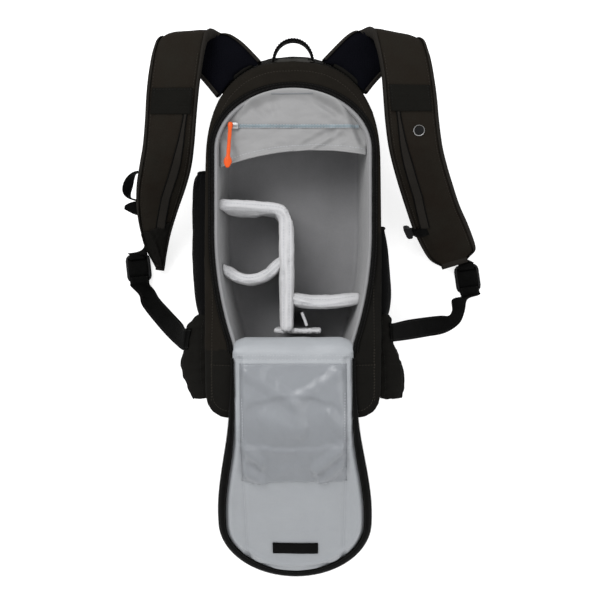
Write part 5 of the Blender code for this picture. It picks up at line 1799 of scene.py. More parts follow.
# Share of the length from the mouth down, share of the bulge
LEFT_POCKET_ROWS = (
    (0.00, 0.56),
    (0.05, 0.84),
    (0.28, 0.95),
    (0.55, 0.95),
    (0.75, 0.82),
    (0.88, 0.60),
    (0.96, 0.30),
    (1.00, 0.00),
)
RIGHT_POCKET_ROWS = (
    (0.00, 0.28),
    (0.12, 0.42),
    (0.30, 0.58),
    (0.50, 0.72),
    (0.70, 0.74),
    (0.86, 0.58),
    (0.95, 0.30),
    (1.00, 0.00),
)

# Stretch mesh: height of its gathers, which die out under the mouth, their waves in radians a metre,
# height of its loose waves and its thickness
GATHER_HEIGHT = 0.0011
GATHER_WAVES = 900
MESH_WAVES = 0.0010
MESH_THICKNESS = 0.0012


def make_side_pocket(node, side, length, base, rows, seed):
    """Stretch mesh skin with gathers under its bound mouth."""
    y_top = length - base
    across = 40
    outer_rows, inner_rows = [], []
    for share, bulge in smooth_rows(rows, 6):
        y = y_top - length * min(1.0, share)
        outer, inner = [], []
        for step in range(across + 1):
            angle = math.pi * step / across
            z = mix(SIDE_POCKET_LOW, SIDE_POCKET_HIGH, (1 - math.cos(angle)) / 2)
            room = SIDE_POCKET_BULGE * max(0.0, bulge) * math.sin(angle) ** 0.7
            gather = GATHER_HEIGHT * math.sin(z * GATHER_WAVES + 2.0 * fold((0, y, z), 20, seed))
            gather *= bump_at(share, 0.05, 0.4)
            loose = MESH_WAVES * fold((0.0, y, z), 30, seed + 1)
            x = HALF_BODY + GAP + room + max(-0.4 * room, (gather + loose) * min(1.0, room / 0.004))
            inner.append(Vector((side * x, y, z)))
            outer.append(Vector((side * (x + MESH_THICKNESS), y, z)))
        outer_rows.append(outer)
        inner_rows.append(inner)
    sections = [outer + inner[::-1] for outer, inner in zip(outer_rows, inner_rows)]
    item = loft(node + "_mesh", sections, STRETCH_MESH, [node])
    mouth = [p + Vector((0, 0.0006, 0)) for p in outer_rows[0]]
    tube(node + "_binding", mouth, 0.0017, BINDING, Vector((0, 1, 0)), sides=10)


# Share of the length from the top, share of the reach
LEFT_WING_ROWS = (
    (0.00, 0.24),
    (0.14, 0.66),
    (0.44, 0.79),
    (0.58, 0.87),
    (0.75, 0.78),
    (0.92, 0.58),
    (1.00, 0.42),
)
RIGHT_WING_ROWS = (
    (0.00, 0.30),
    (0.08, 0.41),
    (0.34, 0.45),
    (0.50, 0.66),
    (0.66, 0.78),
    (0.86, 0.80),
    (1.00, 0.70),
)


def wing_point(side, rows, share, out, height):
    """Point on a wing: out from the root, 0, to its outer edge, 1, and a height above its middle."""
    for (low, low_reach), (high, high_reach) in zip(rows, rows[1:]):
        if low <= share <= high:
            reach = mix(low_reach, high_reach, (share - low) / (high - low)) * WING_REACH
            break
    along_y = BODY_BOTTOM + WING_BASE + WING_LENGTH * (1 - share)
    run = reach * out
    drop = WING_DROP * (run / WING_REACH) ** WING_DROP_POWER
    z = BODY_DEPTH - WING_ROOT_DEPTH - drop + height
    return Vector((side * (HALF_BODY + GAP + run), along_y, z))


# Places across a wing of its two sewn lines, as shares of its reach, and its gathers
WING_SEAMS = (0.86, 0.22)
WING_GATHERS = 0.0010
WING_GATHER_WAVES = 420


def make_wing(suffix, side, rows, seed):
    """Padded wing at the foot of a strap's webbing, gathered at its root."""
    node = "wing_" + suffix

    def free(point):
        return smooth_share((abs(point.x) - HALF_BODY - 0.001) / 0.008)

    item = padded_copy(node, node + "_pad", BODY_CLOTH, voxel=0.0028, cap=0.0016, shrink=0.0006,
                       slack=0.05, keep=free, rounds=4)

    def gathers(point, normal):
        out = (abs(point.x) - HALF_BODY) / WING_REACH
        wave = math.sin(point.y * WING_GATHER_WAVES + 3 * fold(point, 30, seed))
        return WING_GATHERS * free(point) * wave * (1 - min(1.0, out))

    displaced(item, gathers)
    surface = surface_of(item)
    lines = [[wing_point(side, rows, share, out, WING_THICKNESS / 2) for share in spread(0.04, 0.97, 40)]
             for out in WING_SEAMS]
    sewn(node + "_stitches", lines, surface, BLACK_THREAD, "body_cloth")
    edge = [wing_point(side, rows, i / 50, 1.0, 0.0) for i in range(51)]
    tube(node + "_piping", snapped(edge, surface), 0.0014, BINDING)


def make_haul_handle():
    """Arch of webbing at the top of the body."""
    low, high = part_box("haul_handle")
    root = BODY_TOP - TOP_SLOPE
    centre = Vector((0, root, (low.z + high.z) / 2))
    rows = []
    for step in range(49):
        angle = math.pi * step / 48
        spread, rise = math.cos(angle), math.sin(angle) ** 0.8
        place = Vector(((HANDLE_SPAN - HANDLE_THICKNESS) / 2 * spread,
                        root + (HANDLE_REACH - HANDLE_THICKNESS / 2) * rise, centre.z))
        if place.y >= low.y + 0.0004:
            rows.append((place, Vector((0.0, 0.0, HANDLE_WIDTH / 2))))
    strip("haul_handle_webbing", rows, HANDLE_THICKNESS * 0.8, WEBBING, ["haul_handle"], across=10)
    lines = [[place + half * share + (place - centre).normalized() * HANDLE_THICKNESS * 0.4
              for place, half in rows] for share in (-0.8, 0.8)]
    stitched("haul_handle_stitches", lines, BLACK_THREAD, "webbing", lambda p: (p - centre).normalized())


# Pale band at the foot of the handle: its ends in x, distance from the top of the body, half width
HANDLE_BASE = (-0.021, 0.023)
HANDLE_BASE_PLACE = 0.0135
HANDLE_BASE_HALF = 0.0036


def make_handle_base(surface):
    """Pale band at the foot of the haul handle."""
    rows = []
    for x in spread(*HANDLE_BASE, 24):
        start = Vector((x, BODY_TOP - HANDLE_BASE_PLACE, 0.2))
        place = surface.ray_cast(start, -UP)[0]
        normal = surface.find_nearest(place)[1]
        half = Vector((0, 1, 0)) - normal * normal.y
        rows.append((place + normal * 0.0010, half.normalized() * HANDLE_BASE_HALF))
    strip("handle_base", rows, 0.0012, PALE_BAND)


# Shoulder straps: padded bands with bound edges, sewn band, webbing rail and badge

# Along the strap: x and y from its root as shares of the reach (x outwards), height as a share of
# the root's height, the direction of its width in degrees, its width as a share of the strap's
LEFT_STRAP = (
    (-0.035, -0.045, 1.01, 33, 1.09),
    (0.008, 0.005, 1.00, 33, 1.09),
    (0.049, 0.054, 0.97, 33, 1.08),
    (0.091, 0.100, 0.94, 32, 1.07),
    (0.132, 0.135, 0.91, 30, 1.06),
    (0.164, 0.156, 0.89, 26, 1.05),
    (0.194, 0.170, 0.89, 21, 1.03),
    (0.216, 0.176, 0.93, 17, 1.03),
    (0.226, 0.171, 1.02, 15, 1.02),
    (0.239, 0.152, 1.11, 14, 1.02),
    (0.250, 0.121, 1.15, 13, 1.03),
    (0.260, 0.072, 1.17, 9, 1.01),
    (0.271, 0.004, 1.16, 2, 0.98),
    (0.280, -0.070, 1.13, 0, 0.97),
    (0.289, -0.155, 1.06, 0, 0.96),
    (0.301, -0.251, 0.97, 0, 0.97),
    (0.319, -0.331, 0.84, -2, 0.99),
    (0.344, -0.411, 0.67, -2, 0.95),
    (0.367, -0.493, 0.48, -1, 0.82),
    (0.382, -0.586, 0.30, -4, 0.61),
    (0.382, -0.669, 0.16, -6, 0.39),
    (0.372, -0.735, 0.10, -7, 0.18),
)
RIGHT_STRAP = (
    (-0.048, -0.040, 1.01, 32, 1.07),
    (-0.009, 0.009, 1.00, 32, 1.07),
    (0.030, 0.056, 0.97, 32, 1.05),
    (0.070, 0.100, 0.94, 31, 1.05),
    (0.108, 0.139, 0.91, 28, 1.06),
    (0.141, 0.167, 0.89, 25, 1.05),
    (0.171, 0.182, 0.89, 20, 1.03),
    (0.194, 0.188, 0.93, 15, 1.01),
    (0.205, 0.183, 1.02, 12, 0.99),
    (0.219, 0.165, 1.11, 11, 1.01),
    (0.229, 0.135, 1.15, 10, 1.01),
    (0.242, 0.086, 1.17, 6, 0.99),
    (0.255, 0.012, 1.16, 2, 0.98),
    (0.265, -0.070, 1.13, 0, 1.00),
    (0.275, -0.155, 1.06, 0, 1.01),
    (0.291, -0.251, 0.97, 0, 1.02),
    (0.315, -0.329, 0.84, -3, 1.02),
    (0.345, -0.408, 0.70, -4, 1.03),
    (0.380, -0.493, 0.55, -5, 1.04),
    (0.419, -0.571, 0.39, -6, 1.08),
    (0.460, -0.647, 0.23, -6, 1.05),
    (0.481, -0.686, 0.15, -13, 0.91),
    (0.489, -0.716, 0.12, -17, 0.56),
)
STRAP_STEPS = 6


def strap_root(side):
    """Middle of the line where a strap leaves the top corner of the body."""
    share = STRAP_ROOT_SPREAD / HALF_BODY
    rise = TOP_ARCH_HEIGHT - TOP_SLOPE
    y = BODY_TOP - TOP_ARCH_HEIGHT + rise * (1 - share ** TOP_ARCH_POWER) ** (1 / TOP_ARCH_POWER)
    return Vector((side * STRAP_ROOT_SPREAD, y - STRAP_ROOT_TUCK, BODY_DEPTH - STRAP_ROOT_DEPTH))


def strap_frames(side, table, steps):
    """Stations of a strap: centre, width direction (outwards), normal, half width, distance along."""
    root = strap_root(side)
    rows = smooth_rows(table, steps)
    centres = []
    for x_share, y_share, height_share, _, _ in rows:
        shift = Vector((side * x_share * STRAP_REACH, y_share * STRAP_REACH, root.z * (height_share - 1)))
        centres.append(root + shift)
    frames = []
    along = 0.0
    for index, row in enumerate(rows):
        ahead = centres[min(len(rows) - 1, index + 1)]
        behind = centres[max(0, index - 1)]
        turn = math.radians(row[3])
        across = Vector((math.cos(turn) * side, -math.sin(turn), 0.0))
        normal = (ahead - behind).cross(across).normalized() * side
        if index:
            along += (centres[index] - centres[index - 1]).length
        frames.append((centres[index], across, normal, STRAP_WIDTH / 2 * row[4], along))
    return frames


def strap_point(frame, across_share, height):
    """Place on a strap: across as a share of the half width, and above its middle."""
    centre, across, normal, half, _ = frame
    return centre + across * half * across_share + normal * height


def frame_at(frames, along):
    """Station at a distance along a strap, read between its two neighbours."""
    for low, high in zip(frames, frames[1:]):
        if along <= high[4]:
            share = (along - low[4]) / (high[4] - low[4])
            return tuple(a + (b - a) * share for a, b in zip(low, high))
    return frames[-1]


def direction_at(frames, along):
    """Unit vector along a strap at a distance from its root."""
    return (frame_at(frames, along + TAIL_LENGTH)[0] - frame_at(frames, along)[0]).normalized()


def outside_body(point):
    """True where a point of a strap lies outside the rounded body."""
    if point.z > BODY_DEPTH + 0.002:
        return True
    rise = TOP_ARCH_HEIGHT - top_lean(point.z)
    shoulder = BODY_TOP - TOP_ARCH_HEIGHT
    if point.y < shoulder:
        return abs(point.x) > HALF_BODY + 0.001
    across = (abs(point.x) / (HALF_BODY + 0.001)) ** TOP_ARCH_POWER
    return across + ((point.y - shoulder) / (rise + 0.001)) ** TOP_ARCH_POWER > 1


# Binding of a strap's edge: its middle as a share of the half width, its reach as a share of the same,
# the angle that it spans to each side, its points, and how far it stands out over the pad and inwards
EDGE_PLACE = 0.93
EDGE_REACH = 0.10
EDGE_ANGLE = 115
EDGE_POINTS = 16
EDGE_OUTSIDE = 0.0008
EDGE_INSIDE = 0.0006
EDGE_THICKNESS = 0.0012


def edge_binding(frames, side):
    """Sections of the binding on one edge of a strap, where it lies outside the body."""
    sections = []
    angles = [math.radians(mix(-EDGE_ANGLE, EDGE_ANGLE, k / (EDGE_POINTS - 1))) for k in range(EDGE_POINTS)]
    for frame_here in frames:
        _, across, normal, half, _ = frame_here
        centre = strap_point(frame_here, side * EDGE_PLACE, 0.0)
        if not outside_body(centre):
            continue
        reach = half * EDGE_REACH
        section = [centre + across * side * reach * math.cos(angle)
                   + normal * (STRAP_THICKNESS / 2 + EDGE_OUTSIDE) * math.sin(angle) for angle in angles]
        section += [centre + across * side * (reach - EDGE_THICKNESS) * math.cos(angle)
                    + normal * (STRAP_THICKNESS / 2 - EDGE_INSIDE) * math.sin(angle)
                    for angle in reversed(angles)]
        sections.append(section)
    return sections


def make_strap(suffix, side, frames):
    """Padded strap with mesh on its inner face and bound edges."""
    node = "strap_" + suffix
    edge = tree_of([strap_point(f, share, 0.0) for f in frames for share in (-1.0, 1.0)])
    middles = tree_of([f[0] for f in frames])

    def free(point):
        return smooth_share((edge.find(point)[2] - 0.004) / 0.012)

    item = padded_copy(node, node + "_pad", STRAP_CLOTH, voxel=0.0034, cap=0.0016,
                       shrink=0.0003, slack=0.02, keep=free, rounds=5)
    item.data.materials.append(AIR_MESH)
    for face in item.data.polygons:
        normal = frames[middles.find(face.center)[1]][2]
        face.material_index = 1 if face.normal.dot(normal) < -0.1 else 0
    wrinkled(item, 0.0008, 30, 9 + side, lambda p, n: free(p))
    for edge_side, edge_name in ((-1, "inner"), (1, "outer")):
        loft(f"{node}_binding_{edge_name}", edge_binding(frames, edge_side), EDGE_CLOTH)
    return surface_of(item)


# Sewn webbing on a strap: share of its length, place across as a share of the half width
LEFT_RAIL = ((0.0, -0.58), (0.35, -0.42), (0.7, -0.28), (1.0, -0.30))
RIGHT_RAIL = ((0.0, -0.50), (0.35, -0.42), (0.7, -0.42), (1.0, -0.55))


# Half width of the webbing rail at its start and the share of its length over which it widens
RAIL_START_SHARE = 0.35
RAIL_WIDENING = 0.45


def rail_half(share):
    """Half width of the webbing rail at a share of its length."""
    return RAIL_WIDTH / 2 * mix(RAIL_START_SHARE, 1.0, smooth_share(share / RAIL_WIDENING))


# Sewn lines of a strap: place across as a share of the half width, start, and end before its tip
STRAP_SEAM_PLACE = 0.80
STRAP_SEAM_START = 0.155
STRAP_SEAM_STOP = 0.030

# Sewn lines of the band on a strap, as shares of its length and of the strap's half width
BAND_STITCH_ALONG = (0.06, 0.94)
BAND_STITCH_ACROSS = (-0.72, 0.72)
BAND_SIDE_STITCH = 0.70


def make_strap_trim(suffix, frames, rail, surface):
    """Sewn band, webbing rail and the stitches on a strap's outer face."""
    top_height = STRAP_THICKNESS / 2
    patch_end = PATCH_START + PATCH_LENGTH

    def patch_frame(share):
        return frame_at(frames, mix(PATCH_START, patch_end, share))

    rows = []
    for i in range(25):
        f = patch_frame(i / 24)
        top = surface.find_nearest(strap_point(f, 0.0, top_height))[0]
        rows.append((top + f[2] * 0.0011, f[1] * PATCH_WIDTH / 2))
    strip("strap_band_" + suffix, rows, 0.0014, PATCH_CLOTH, ["strap_patch_" + suffix],
          across=14)
    lines = [[strap_point(patch_frame(along), share, top_height + 0.0022)
              for share in spread(*BAND_STITCH_ACROSS, 20)] for along in BAND_STITCH_ALONG]
    lines += [[strap_point(patch_frame(along), share, top_height + 0.0022)
               for along in spread(*BAND_STITCH_ALONG, 14)]
              for share in (-BAND_SIDE_STITCH, BAND_SIDE_STITCH)]
    stitched("strap_band_stitches_" + suffix, lines, BLACK_THREAD, "frame_cloth", frames[len(frames) // 2][2])
    band = []
    for i in range(71):
        f = frame_at(frames, patch_end + GAP + RAIL_LENGTH * i / 70)
        top = surface.find_nearest(strap_point(f, row_value(rail, i / 70), top_height))[0]
        band.append((top + f[2] * 0.0010, f[1] * rail_half(i / 70)))
    strip("strap_webbing_" + suffix, band, 0.0013, EDGE_CLOTH, ["strap_rail_" + suffix], across=8)
    for index, share in enumerate((-1.0, 1.0)):
        line = [centre + half * share + UP * 0.0004 for centre, half in band]
        tube(f"strap_webbing_edge_{suffix}_{index}", line, 0.0008, BINDING, sides=6)
    seams = []
    for share in (-STRAP_SEAM_PLACE, STRAP_SEAM_PLACE):
        stations = [frame_at(frames, along)
                    for along in spread(STRAP_SEAM_START, frames[-1][4] - STRAP_SEAM_STOP, 60)]
        seams.append([strap_point(f, share, top_height) for f in stations])
    sewn("strap_stitches_" + suffix, seams, surface, BROWN_THREAD, "strap_cloth")


# Profiles of the badge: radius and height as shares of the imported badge's
BADGE_RING = ((0.98, 0.0), (1.0, 0.3), (0.98, 0.7), (0.94, 1.0), (0.88, 1.0), (0.84, 0.75), (0.82, 0.5))
BADGE_MIDDLE = ((0.81, 0.3), (0.81, 0.55), (0.5, 0.68), (0.2, 0.74))


def make_badge(frames):
    """Plain ring with a dark middle on the right strap."""
    f = frame_at(frames, BADGE_ALONG)
    place = strap_point(f, BADGE_ACROSS / f[3], STRAP_THICKNESS / 2 + 2 * GAP)
    other = f[2].cross(f[1]).normalized()
    along = other.cross(f[2]).normalized()

    def turned(name, profile, material, nodes=()):
        sections = [[circle_point(place + f[2] * BADGE_HEIGHT * height, along * BADGE_RADIUS * radius,
                                  other * BADGE_RADIUS * radius, k, 48) for k in range(48)]
                    for radius, height in profile]
        loft(name, sections, material, nodes, sharp=60)

    turned("badge_ring", BADGE_RING, METAL, ["strap_badge"])
    turned("badge_middle", BADGE_MIDDLE, BLACK_PLASTIC)


def make_strap_end(suffix, frames):
    """Bound end of a strap."""
    end = frames[-1]
    line = [strap_point(end, share, 0.0) for share in spread(-0.97, 0.97, 20)]
    tube("strap_end_" + suffix, line, STRAP_THICKNESS / 2, EDGE_CLOTH, end[2], sides=20)


# Dark cloth that covers the left strap's low end: length, cells, slant of its upper edge, thickness,
# heights of its creases and of its ridge
TIP_COVER = 0.062
TIP_COLUMNS = 26
TIP_ROWS = 30
TIP_SLANT = 0.012
TIP_THICKNESS = 0.0010
TIP_CREASE = 0.0016
TIP_RIDGE = 0.0024


def make_strap_tip(suffix, frames, surface):
    """Creased cover over a strap's low end."""
    end = frames[-1][4]
    over, under = [], []
    for row in range(TIP_ROWS + 1):
        down = row / TIP_ROWS
        along = frame_at(frames, end - TIP_COVER * (1 - down))[4]
        for column in range(TIP_COLUMNS + 1):
            share = mix(-0.98, 0.98, column / TIP_COLUMNS)
            f = frame_at(frames, min(end, along + TIP_SLANT * share * (1 - down)))
            start = strap_point(f, share, STRAP_THICKNESS / 2 + 0.006) + f[2] * 0.004
            top = surface.ray_cast(start, -f[2])[0] or strap_point(f, share, STRAP_THICKNESS / 2)
            crease = TIP_CREASE * abs(fold((share * 0.03, down * 0.05, 0.0), 60, 41))
            ridge = TIP_RIDGE * bump_at(share + 0.9 * down - 0.35, 0.0, 0.22)
            base = top + f[2] * (GAP + crease + ridge)
            under.append(base)
            over.append(base + f[2] * TIP_THICKNESS)
    verts, faces = grid_data(over, under, TIP_COLUMNS, TIP_ROWS)
    item = outward(add_piece("strap_tip_" + suffix, verts, faces, BODY_CLOTH))


# The seam that joins each strap to the body's top corner: points of its line, height and radius
STRAP_SEAM = ((0.0875, 0.1722), (0.0780, 0.1848), (0.0640, 0.1970), (0.0500, 0.2060))
STRAP_SEAM_Z = 0.1275
STRAP_SEAM_RADIUS = 0.0030


def make_strap_seam(suffix, side):
    """Rolled seam between a strap and the body."""
    rows = smooth_rows([(side * x, y, STRAP_SEAM_Z) for x, y in STRAP_SEAM], 6)
    line = [Vector(row) for row in rows]
    tube("root_seam_" + suffix, line, STRAP_SEAM_RADIUS, BODY_CLOTH, sides=12)


# Where the strap's fold stands up higher at its outer end: middle in x, line in y over which it
# starts, how far across and along it reaches, and its rise
CORNER_PLACE = (-0.150, 0.235)
CORNER_REACH = 0.052
CORNER_START = 0.045
CORNER_RISE = 0.0075


def raise_corner():
    """Lift the outer end of the left strap's fold, with all that is sewn on it."""
    middle, line = CORNER_PLACE
    for item in [bpy.data.objects[name] for name in MADE if "strap" in name and "right" not in name]:
        points = points_of(item)
        for point in points:
            share = bump_at(point[0], middle, CORNER_REACH)
            point[1] += CORNER_RISE * share * smooth_share((point[1] - line + CORNER_START) / CORNER_START)
        set_points(item, points)


# Ladder locks, their webbing, and the sternum parts

# Place of a lock's centre from the strap's end, outwards and down, as shares of the lock's length,
# and the turn of its long axis in degrees
LEFT_LOCK = (0.78, 0.06, -6)
RIGHT_LOCK = (0.50, 0.58, 8)


def lock_frame(side, frames, place):
    """Centre, bar direction and axis (towards the low webbing) of a ladder lock."""
    end = frames[-1][0]
    outward, downward, turn = place
    centre = Vector((end.x + side * outward * LOCK_LENGTH, end.y - downward * LOCK_LENGTH,
                     GROUND_GAP + LOCK_THICKNESS * 0.5 + LOCK_RISE))
    angle = math.radians(turn) * side
    axis = Vector((math.sin(angle), -math.cos(angle), 0.0))
    bar = Vector((math.cos(angle), math.sin(angle), 0.0)) * side
    return centre, bar, axis


def lock_point(frame, out, along, up):
    """Place on a lock: along its bars, along its axis and up."""
    centre, bar, axis = frame
    return centre + bar * out + axis * along + Vector((0, 0, up))


def over_bar(frame, which, width, bar_edge, outside):
    """Rows of a band from inside a slot, up over the outer bar and away; which is -1 or 1."""
    lift = LOCK_THICKNESS / 2 + GAP + WEBBING_THICKNESS / 2
    half = frame[1] * width / 2
    slot_in = bar_edge - LOCK_BAR - GAP - WEBBING_THICKNESS
    return [
        (lock_point(frame, 0, which * slot_in, 0.0), half),
        (lock_point(frame, 0, which * slot_in, lift), half),
        (lock_point(frame, 0, which * (bar_edge - LOCK_BAR), lift + WEBBING_THICKNESS * 0.5), half),
        (lock_point(frame, 0, which * (bar_edge + GAP), lift + GAP), half),
        (lock_point(frame, 0, which * (bar_edge + outside), lift * 0.5), half),
    ]


# Where a stub leaves its strap: distance back from the strap's end as a share of the stub's root,
# place across as a share of the half width, and its direction as shares of outwards and onwards
LEFT_STUB = (1.0, 1.0, 1.0, 0.0)
RIGHT_STUB = (0.0, 0.50, 0.0, 1.0)


def make_stub(suffix, frames, lock, place):
    """Webbing from the strap's end to the lock's near bar."""
    back, across_share, outwards, onwards = place
    rows = over_bar(lock, -1, STUB_WIDTH, LOCK_LENGTH / 2, STUB_SLACK)
    root = frame_at(frames, frames[-1][4] - back * STUB_ROOT)
    tangent = (frames[-1][0] - frames[-2][0]).normalized()
    out = root[1] * outwards + tangent * onwards
    start = strap_point(root, across_share, -STRAP_THICKNESS * 0.25 * onwards)
    width = root[1] if onwards else tangent
    rows.append((start + out * (WEBBING_THICKNESS + 2 * GAP), width.normalized() * STUB_WIDTH * 0.4))
    banded("stub_webbing_" + suffix, rows, WEBBING_THICKNESS * 0.9, WEBBING, "webbing",
           ["strap_stub_" + suffix])


# Webbing in a lock: place along the lock, height as a share of the lift over its bars, and drop
LOCK_WRAP = (
    (0.0150, -1.0, 0.0006),
    (0.0124, -0.6, 0.0),
    (0.0098, 0.3, 0.0),
    (0.0040, 1.0, 0.0),
)


def make_lock_wrap(suffix, lock):
    """Webbing that goes over the lock's middle bar and back under both end bars."""
    half = lock[1] * (LOCK_WIDTH / 2 - LOCK_RAIL + 0.0002)
    lift = LOCK_THICKNESS / 2 + WEBBING_THICKNESS / 2
    rows = [(lock_point(lock, 0, side * along, share * lift - drop), half)
            for side, places in ((-1, LOCK_WRAP), (1, LOCK_WRAP[::-1])) for along, share, drop in places]
    banded("lock_wrap_" + suffix, rows, WEBBING_THICKNESS * 0.8, WEBBING, "webbing")


# Low webbing between the lock and the wing: shares of the way in x, y and z, the turn of its
# width in degrees and the tilt of its width in degrees
LEFT_WEBBING = (
    (0.14, 0.14, 0.02, -17, 40),
    (0.23, 0.32, 0.10, -22, 22),
    (0.52, 0.61, 0.35, -39, 12),
    (0.80, 0.85, 0.70, -48, 4),
)
RIGHT_WEBBING = (
    (0.13, 0.10, 0.02, 4, 44),
    (0.15, 0.43, 0.045, -6, 58),
    (0.21, 0.68, 0.10, -40, 54),
    (0.36, 0.81, 0.22, -76, 26),
    (0.59, 0.88, 0.46, -84, 10),
    (0.81, 0.94, 0.76, -88, 4),
)

# How the webbing turns over the wing's edge: half its width as a share of the edge between two rows of
# the wing, its rise over the edge, and its places across the wing with its lift over it
WEBBING_SEAT_SHARE = 0.42
WEBBING_SEAT_RISE = 0.0050
WEBBING_SEAT_PLACES = (0.90, 0.76)
WEBBING_SEAT_LIFT = 0.0022


def make_lower_webbing(suffix, side, lock, table, wing_rows):
    """Webbing from the lock's far bar to the wing, which it goes over."""
    rows = over_bar(lock, 1, WEBBING_WIDTH, LOCK_LENGTH / 2, LOCK_BAR)
    start = rows[-1][0]
    top = wing_point(side, wing_rows, wing_rows[1][0], 1.0, 0.0)
    low = wing_point(side, wing_rows, wing_rows[2][0], 1.0, 0.0)
    end = top.lerp(low, 0.5) + Vector((side * (WEBBING_THICKNESS / 2 + 2 * GAP), 0, 0))
    for x_share, y_share, z_share, turn, tilt in table:
        shares = (x_share, y_share, z_share)
        place = Vector([mix(a, b, share) for a, b, share in zip(start, end, shares)])
        turn, tilt = math.radians(turn), math.radians(tilt)
        level = Vector((side * math.cos(turn), math.sin(turn), 0.0))
        half = level * math.cos(tilt) + Vector((0, 0, math.sin(tilt)))
        rows.append((place, half * WEBBING_WIDTH / 2))
    seat = (low - top) * WEBBING_SEAT_SHARE
    middle = (wing_rows[1][0] + wing_rows[2][0]) / 2
    rows.append((end + UP * WEBBING_SEAT_RISE, seat))
    for out in WEBBING_SEAT_PLACES:
        rows.append((wing_point(side, wing_rows, middle, out, WING_THICKNESS / 2 + WEBBING_SEAT_LIFT), seat))
    banded("low_webbing_" + suffix, rows, WEBBING_THICKNESS * 0.9, WEBBING, "webbing",
           ["lower_webbing_" + suffix], stitches=BLACK_THREAD)


# Webbing that holds the buckle: its distance along the right strap, half width, and its route over
# the strap's inner edge as place across, in half widths, and height
BUCKLE_PLACE = 0.394
KEEPER_HALF = 0.0065
KEEPER_ROUTE = ((-1.02, 0.0), (-1.04, 0.004), (-0.90, 0.0074), (-0.66, 0.0076), (-0.50, 0.0066))


def make_keeper(frames):
    """Webbing that holds the buckle on the right strap, over the strap's inner edge."""
    half = direction_at(frames, BUCKLE_PLACE) * KEEPER_HALF
    rows = [(strap_point(frame_at(frames, BUCKLE_PLACE - 0.0012 * i), share, high), half)
            for i, (share, high) in enumerate(KEEPER_ROUTE)]
    banded("sternum_keeper", rows, 0.0022, WEBBING, "webbing")


# Loop in plan: share of its reach outwards, share of its span along the strap
STERNUM_LOOP = (
    (0.00, 0.00),
    (0.42, 0.06),
    (0.75, 0.24),
    (0.95, 0.50),
    (1.00, 0.75),
    (0.72, 0.92),
    (0.00, 1.00),
)

# Tilt of the sternum loop's webbing at its middle
LOOP_TILT = math.radians(42)

# The folded tail narrows to a corner: share of its length, shift and half width along the strap
TAIL_FORM = (
    (0.00, 0.20, 1.20),
    (0.35, 0.10, 1.00),
    (0.70, 0.05, 0.62),
    (0.95, 0.10, 0.26),
)


def make_sternum(frames):
    """Loop and folded tail of webbing on the left strap's inner edge."""
    high = frame_at(frames, STERNUM_ALONG)
    low = frame_at(frames, STERNUM_ALONG + STERNUM_SPAN)
    start = strap_point(high, 1.0, 0.0) + high[1] * 2 * GAP
    end = strap_point(low, 1.0, 0.0) + low[1] * 2 * GAP
    rows = []
    for out, along in STERNUM_LOOP:
        place = start.lerp(end, along) + high[1] * out * STERNUM_REACH * 0.70
        tilt = LOOP_TILT * math.sin(math.pi * along)
        half = UP * math.cos(tilt) + high[1] * math.sin(tilt)
        rows.append((place, half * LOOP_WEBBING_WIDTH / 2))
    banded("sternum_loop_webbing", rows, LOOP_WEBBING_THICKNESS * 0.7, WEBBING, "webbing", ["sternum_loop"])
    f = frame_at(frames, STERNUM_ALONG + STERNUM_SPAN + TAIL_WIDTH * 0.62)
    edge = strap_point(f, 1.0, 0.0) - f[1] * 0.001
    half = direction_at(frames, f[4]) * TAIL_WIDTH / 2
    rows = [(edge + f[1] * TAIL_LENGTH * out + half * shift, half * wide) for out, shift, wide in TAIL_FORM]
    banded("sternum_tail_webbing", rows, LOOP_WEBBING_THICKNESS * 0.8, WEBBING, "webbing", ["sternum_tail"])


def make_strap_side(suffix, side, table, rail, lock_place, stub, webbing, wing_rows):
    """One shoulder strap with all that is sewn on it, its lock and its webbing."""
    frames = strap_frames(side, table, STRAP_STEPS)
    surface = make_strap(suffix, side, frames)
    make_strap_trim(suffix, frames, rail, surface)
    make_strap_end(suffix, frames)
    make_strap_seam(suffix, side)
    if suffix == "left":
        make_strap_tip(suffix, frames, surface)
    else:
        make_keeper(frames)
    lock = lock_frame(side, frames, lock_place)
    bevelled_copy("ladder_lock_" + suffix, "lock_" + suffix, BLACK_PLASTIC, 0.0009, 3)
    make_lock_wrap(suffix, lock)
    make_stub(suffix, frames, lock, stub)
    make_lower_webbing(suffix, side, lock, webbing, wing_rows)
    return frames


# Camera, lights and floor

# Height of the camera, its place over the bag, its lens and sensor in mm
CAMERA_HEIGHT = 1.8
CAMERA_PLACE = (0.0084, -0.080)
CAMERA_LENS = 82.5
CAMERA_SENSOR = 36.0


def add_camera():
    """Camera that looks straight down."""
    data = bpy.data.cameras.new("camera")
    data.lens = CAMERA_LENS
    data.sensor_width = CAMERA_SENSOR
    item = bpy.data.objects.new("camera", data)
    item.location = (*CAMERA_PLACE, CAMERA_HEIGHT)
    bpy.context.scene.collection.objects.link(item)
    bpy.context.scene.camera = item


# Lights: place, power and size; all aim at one point
LIGHTS = {
    "key": ((-1.1, 1.3, 2.4), 60.0, 1.6),
    "fill": ((1.6, -0.6, 2.0), 16.0, 1.8),
}
LIGHT_AIM = (0.0, -0.08, 0.05)


def add_light(name, place, power, size):
    """Square light that aims at the bag."""
    data = bpy.data.lights.new(name, "AREA")
    data.energy = power
    data.size = size
    item = bpy.data.objects.new(name, data)
    item.location = place
    item.rotation_euler = (Vector(LIGHT_AIM) - Vector(place)).to_track_quat("-Z", "Y").to_euler()
    bpy.context.scene.collection.objects.link(item)


# Strength of the white surroundings; half width, grey and glow of the floor
WORLD_STRENGTH = 0.9
FLOOR_HALF = 4.0
FLOOR_GREY = 0.50
FLOOR_GLOW = 0.72
WHITE = (1.0, 1.0, 1.0, 1.0)


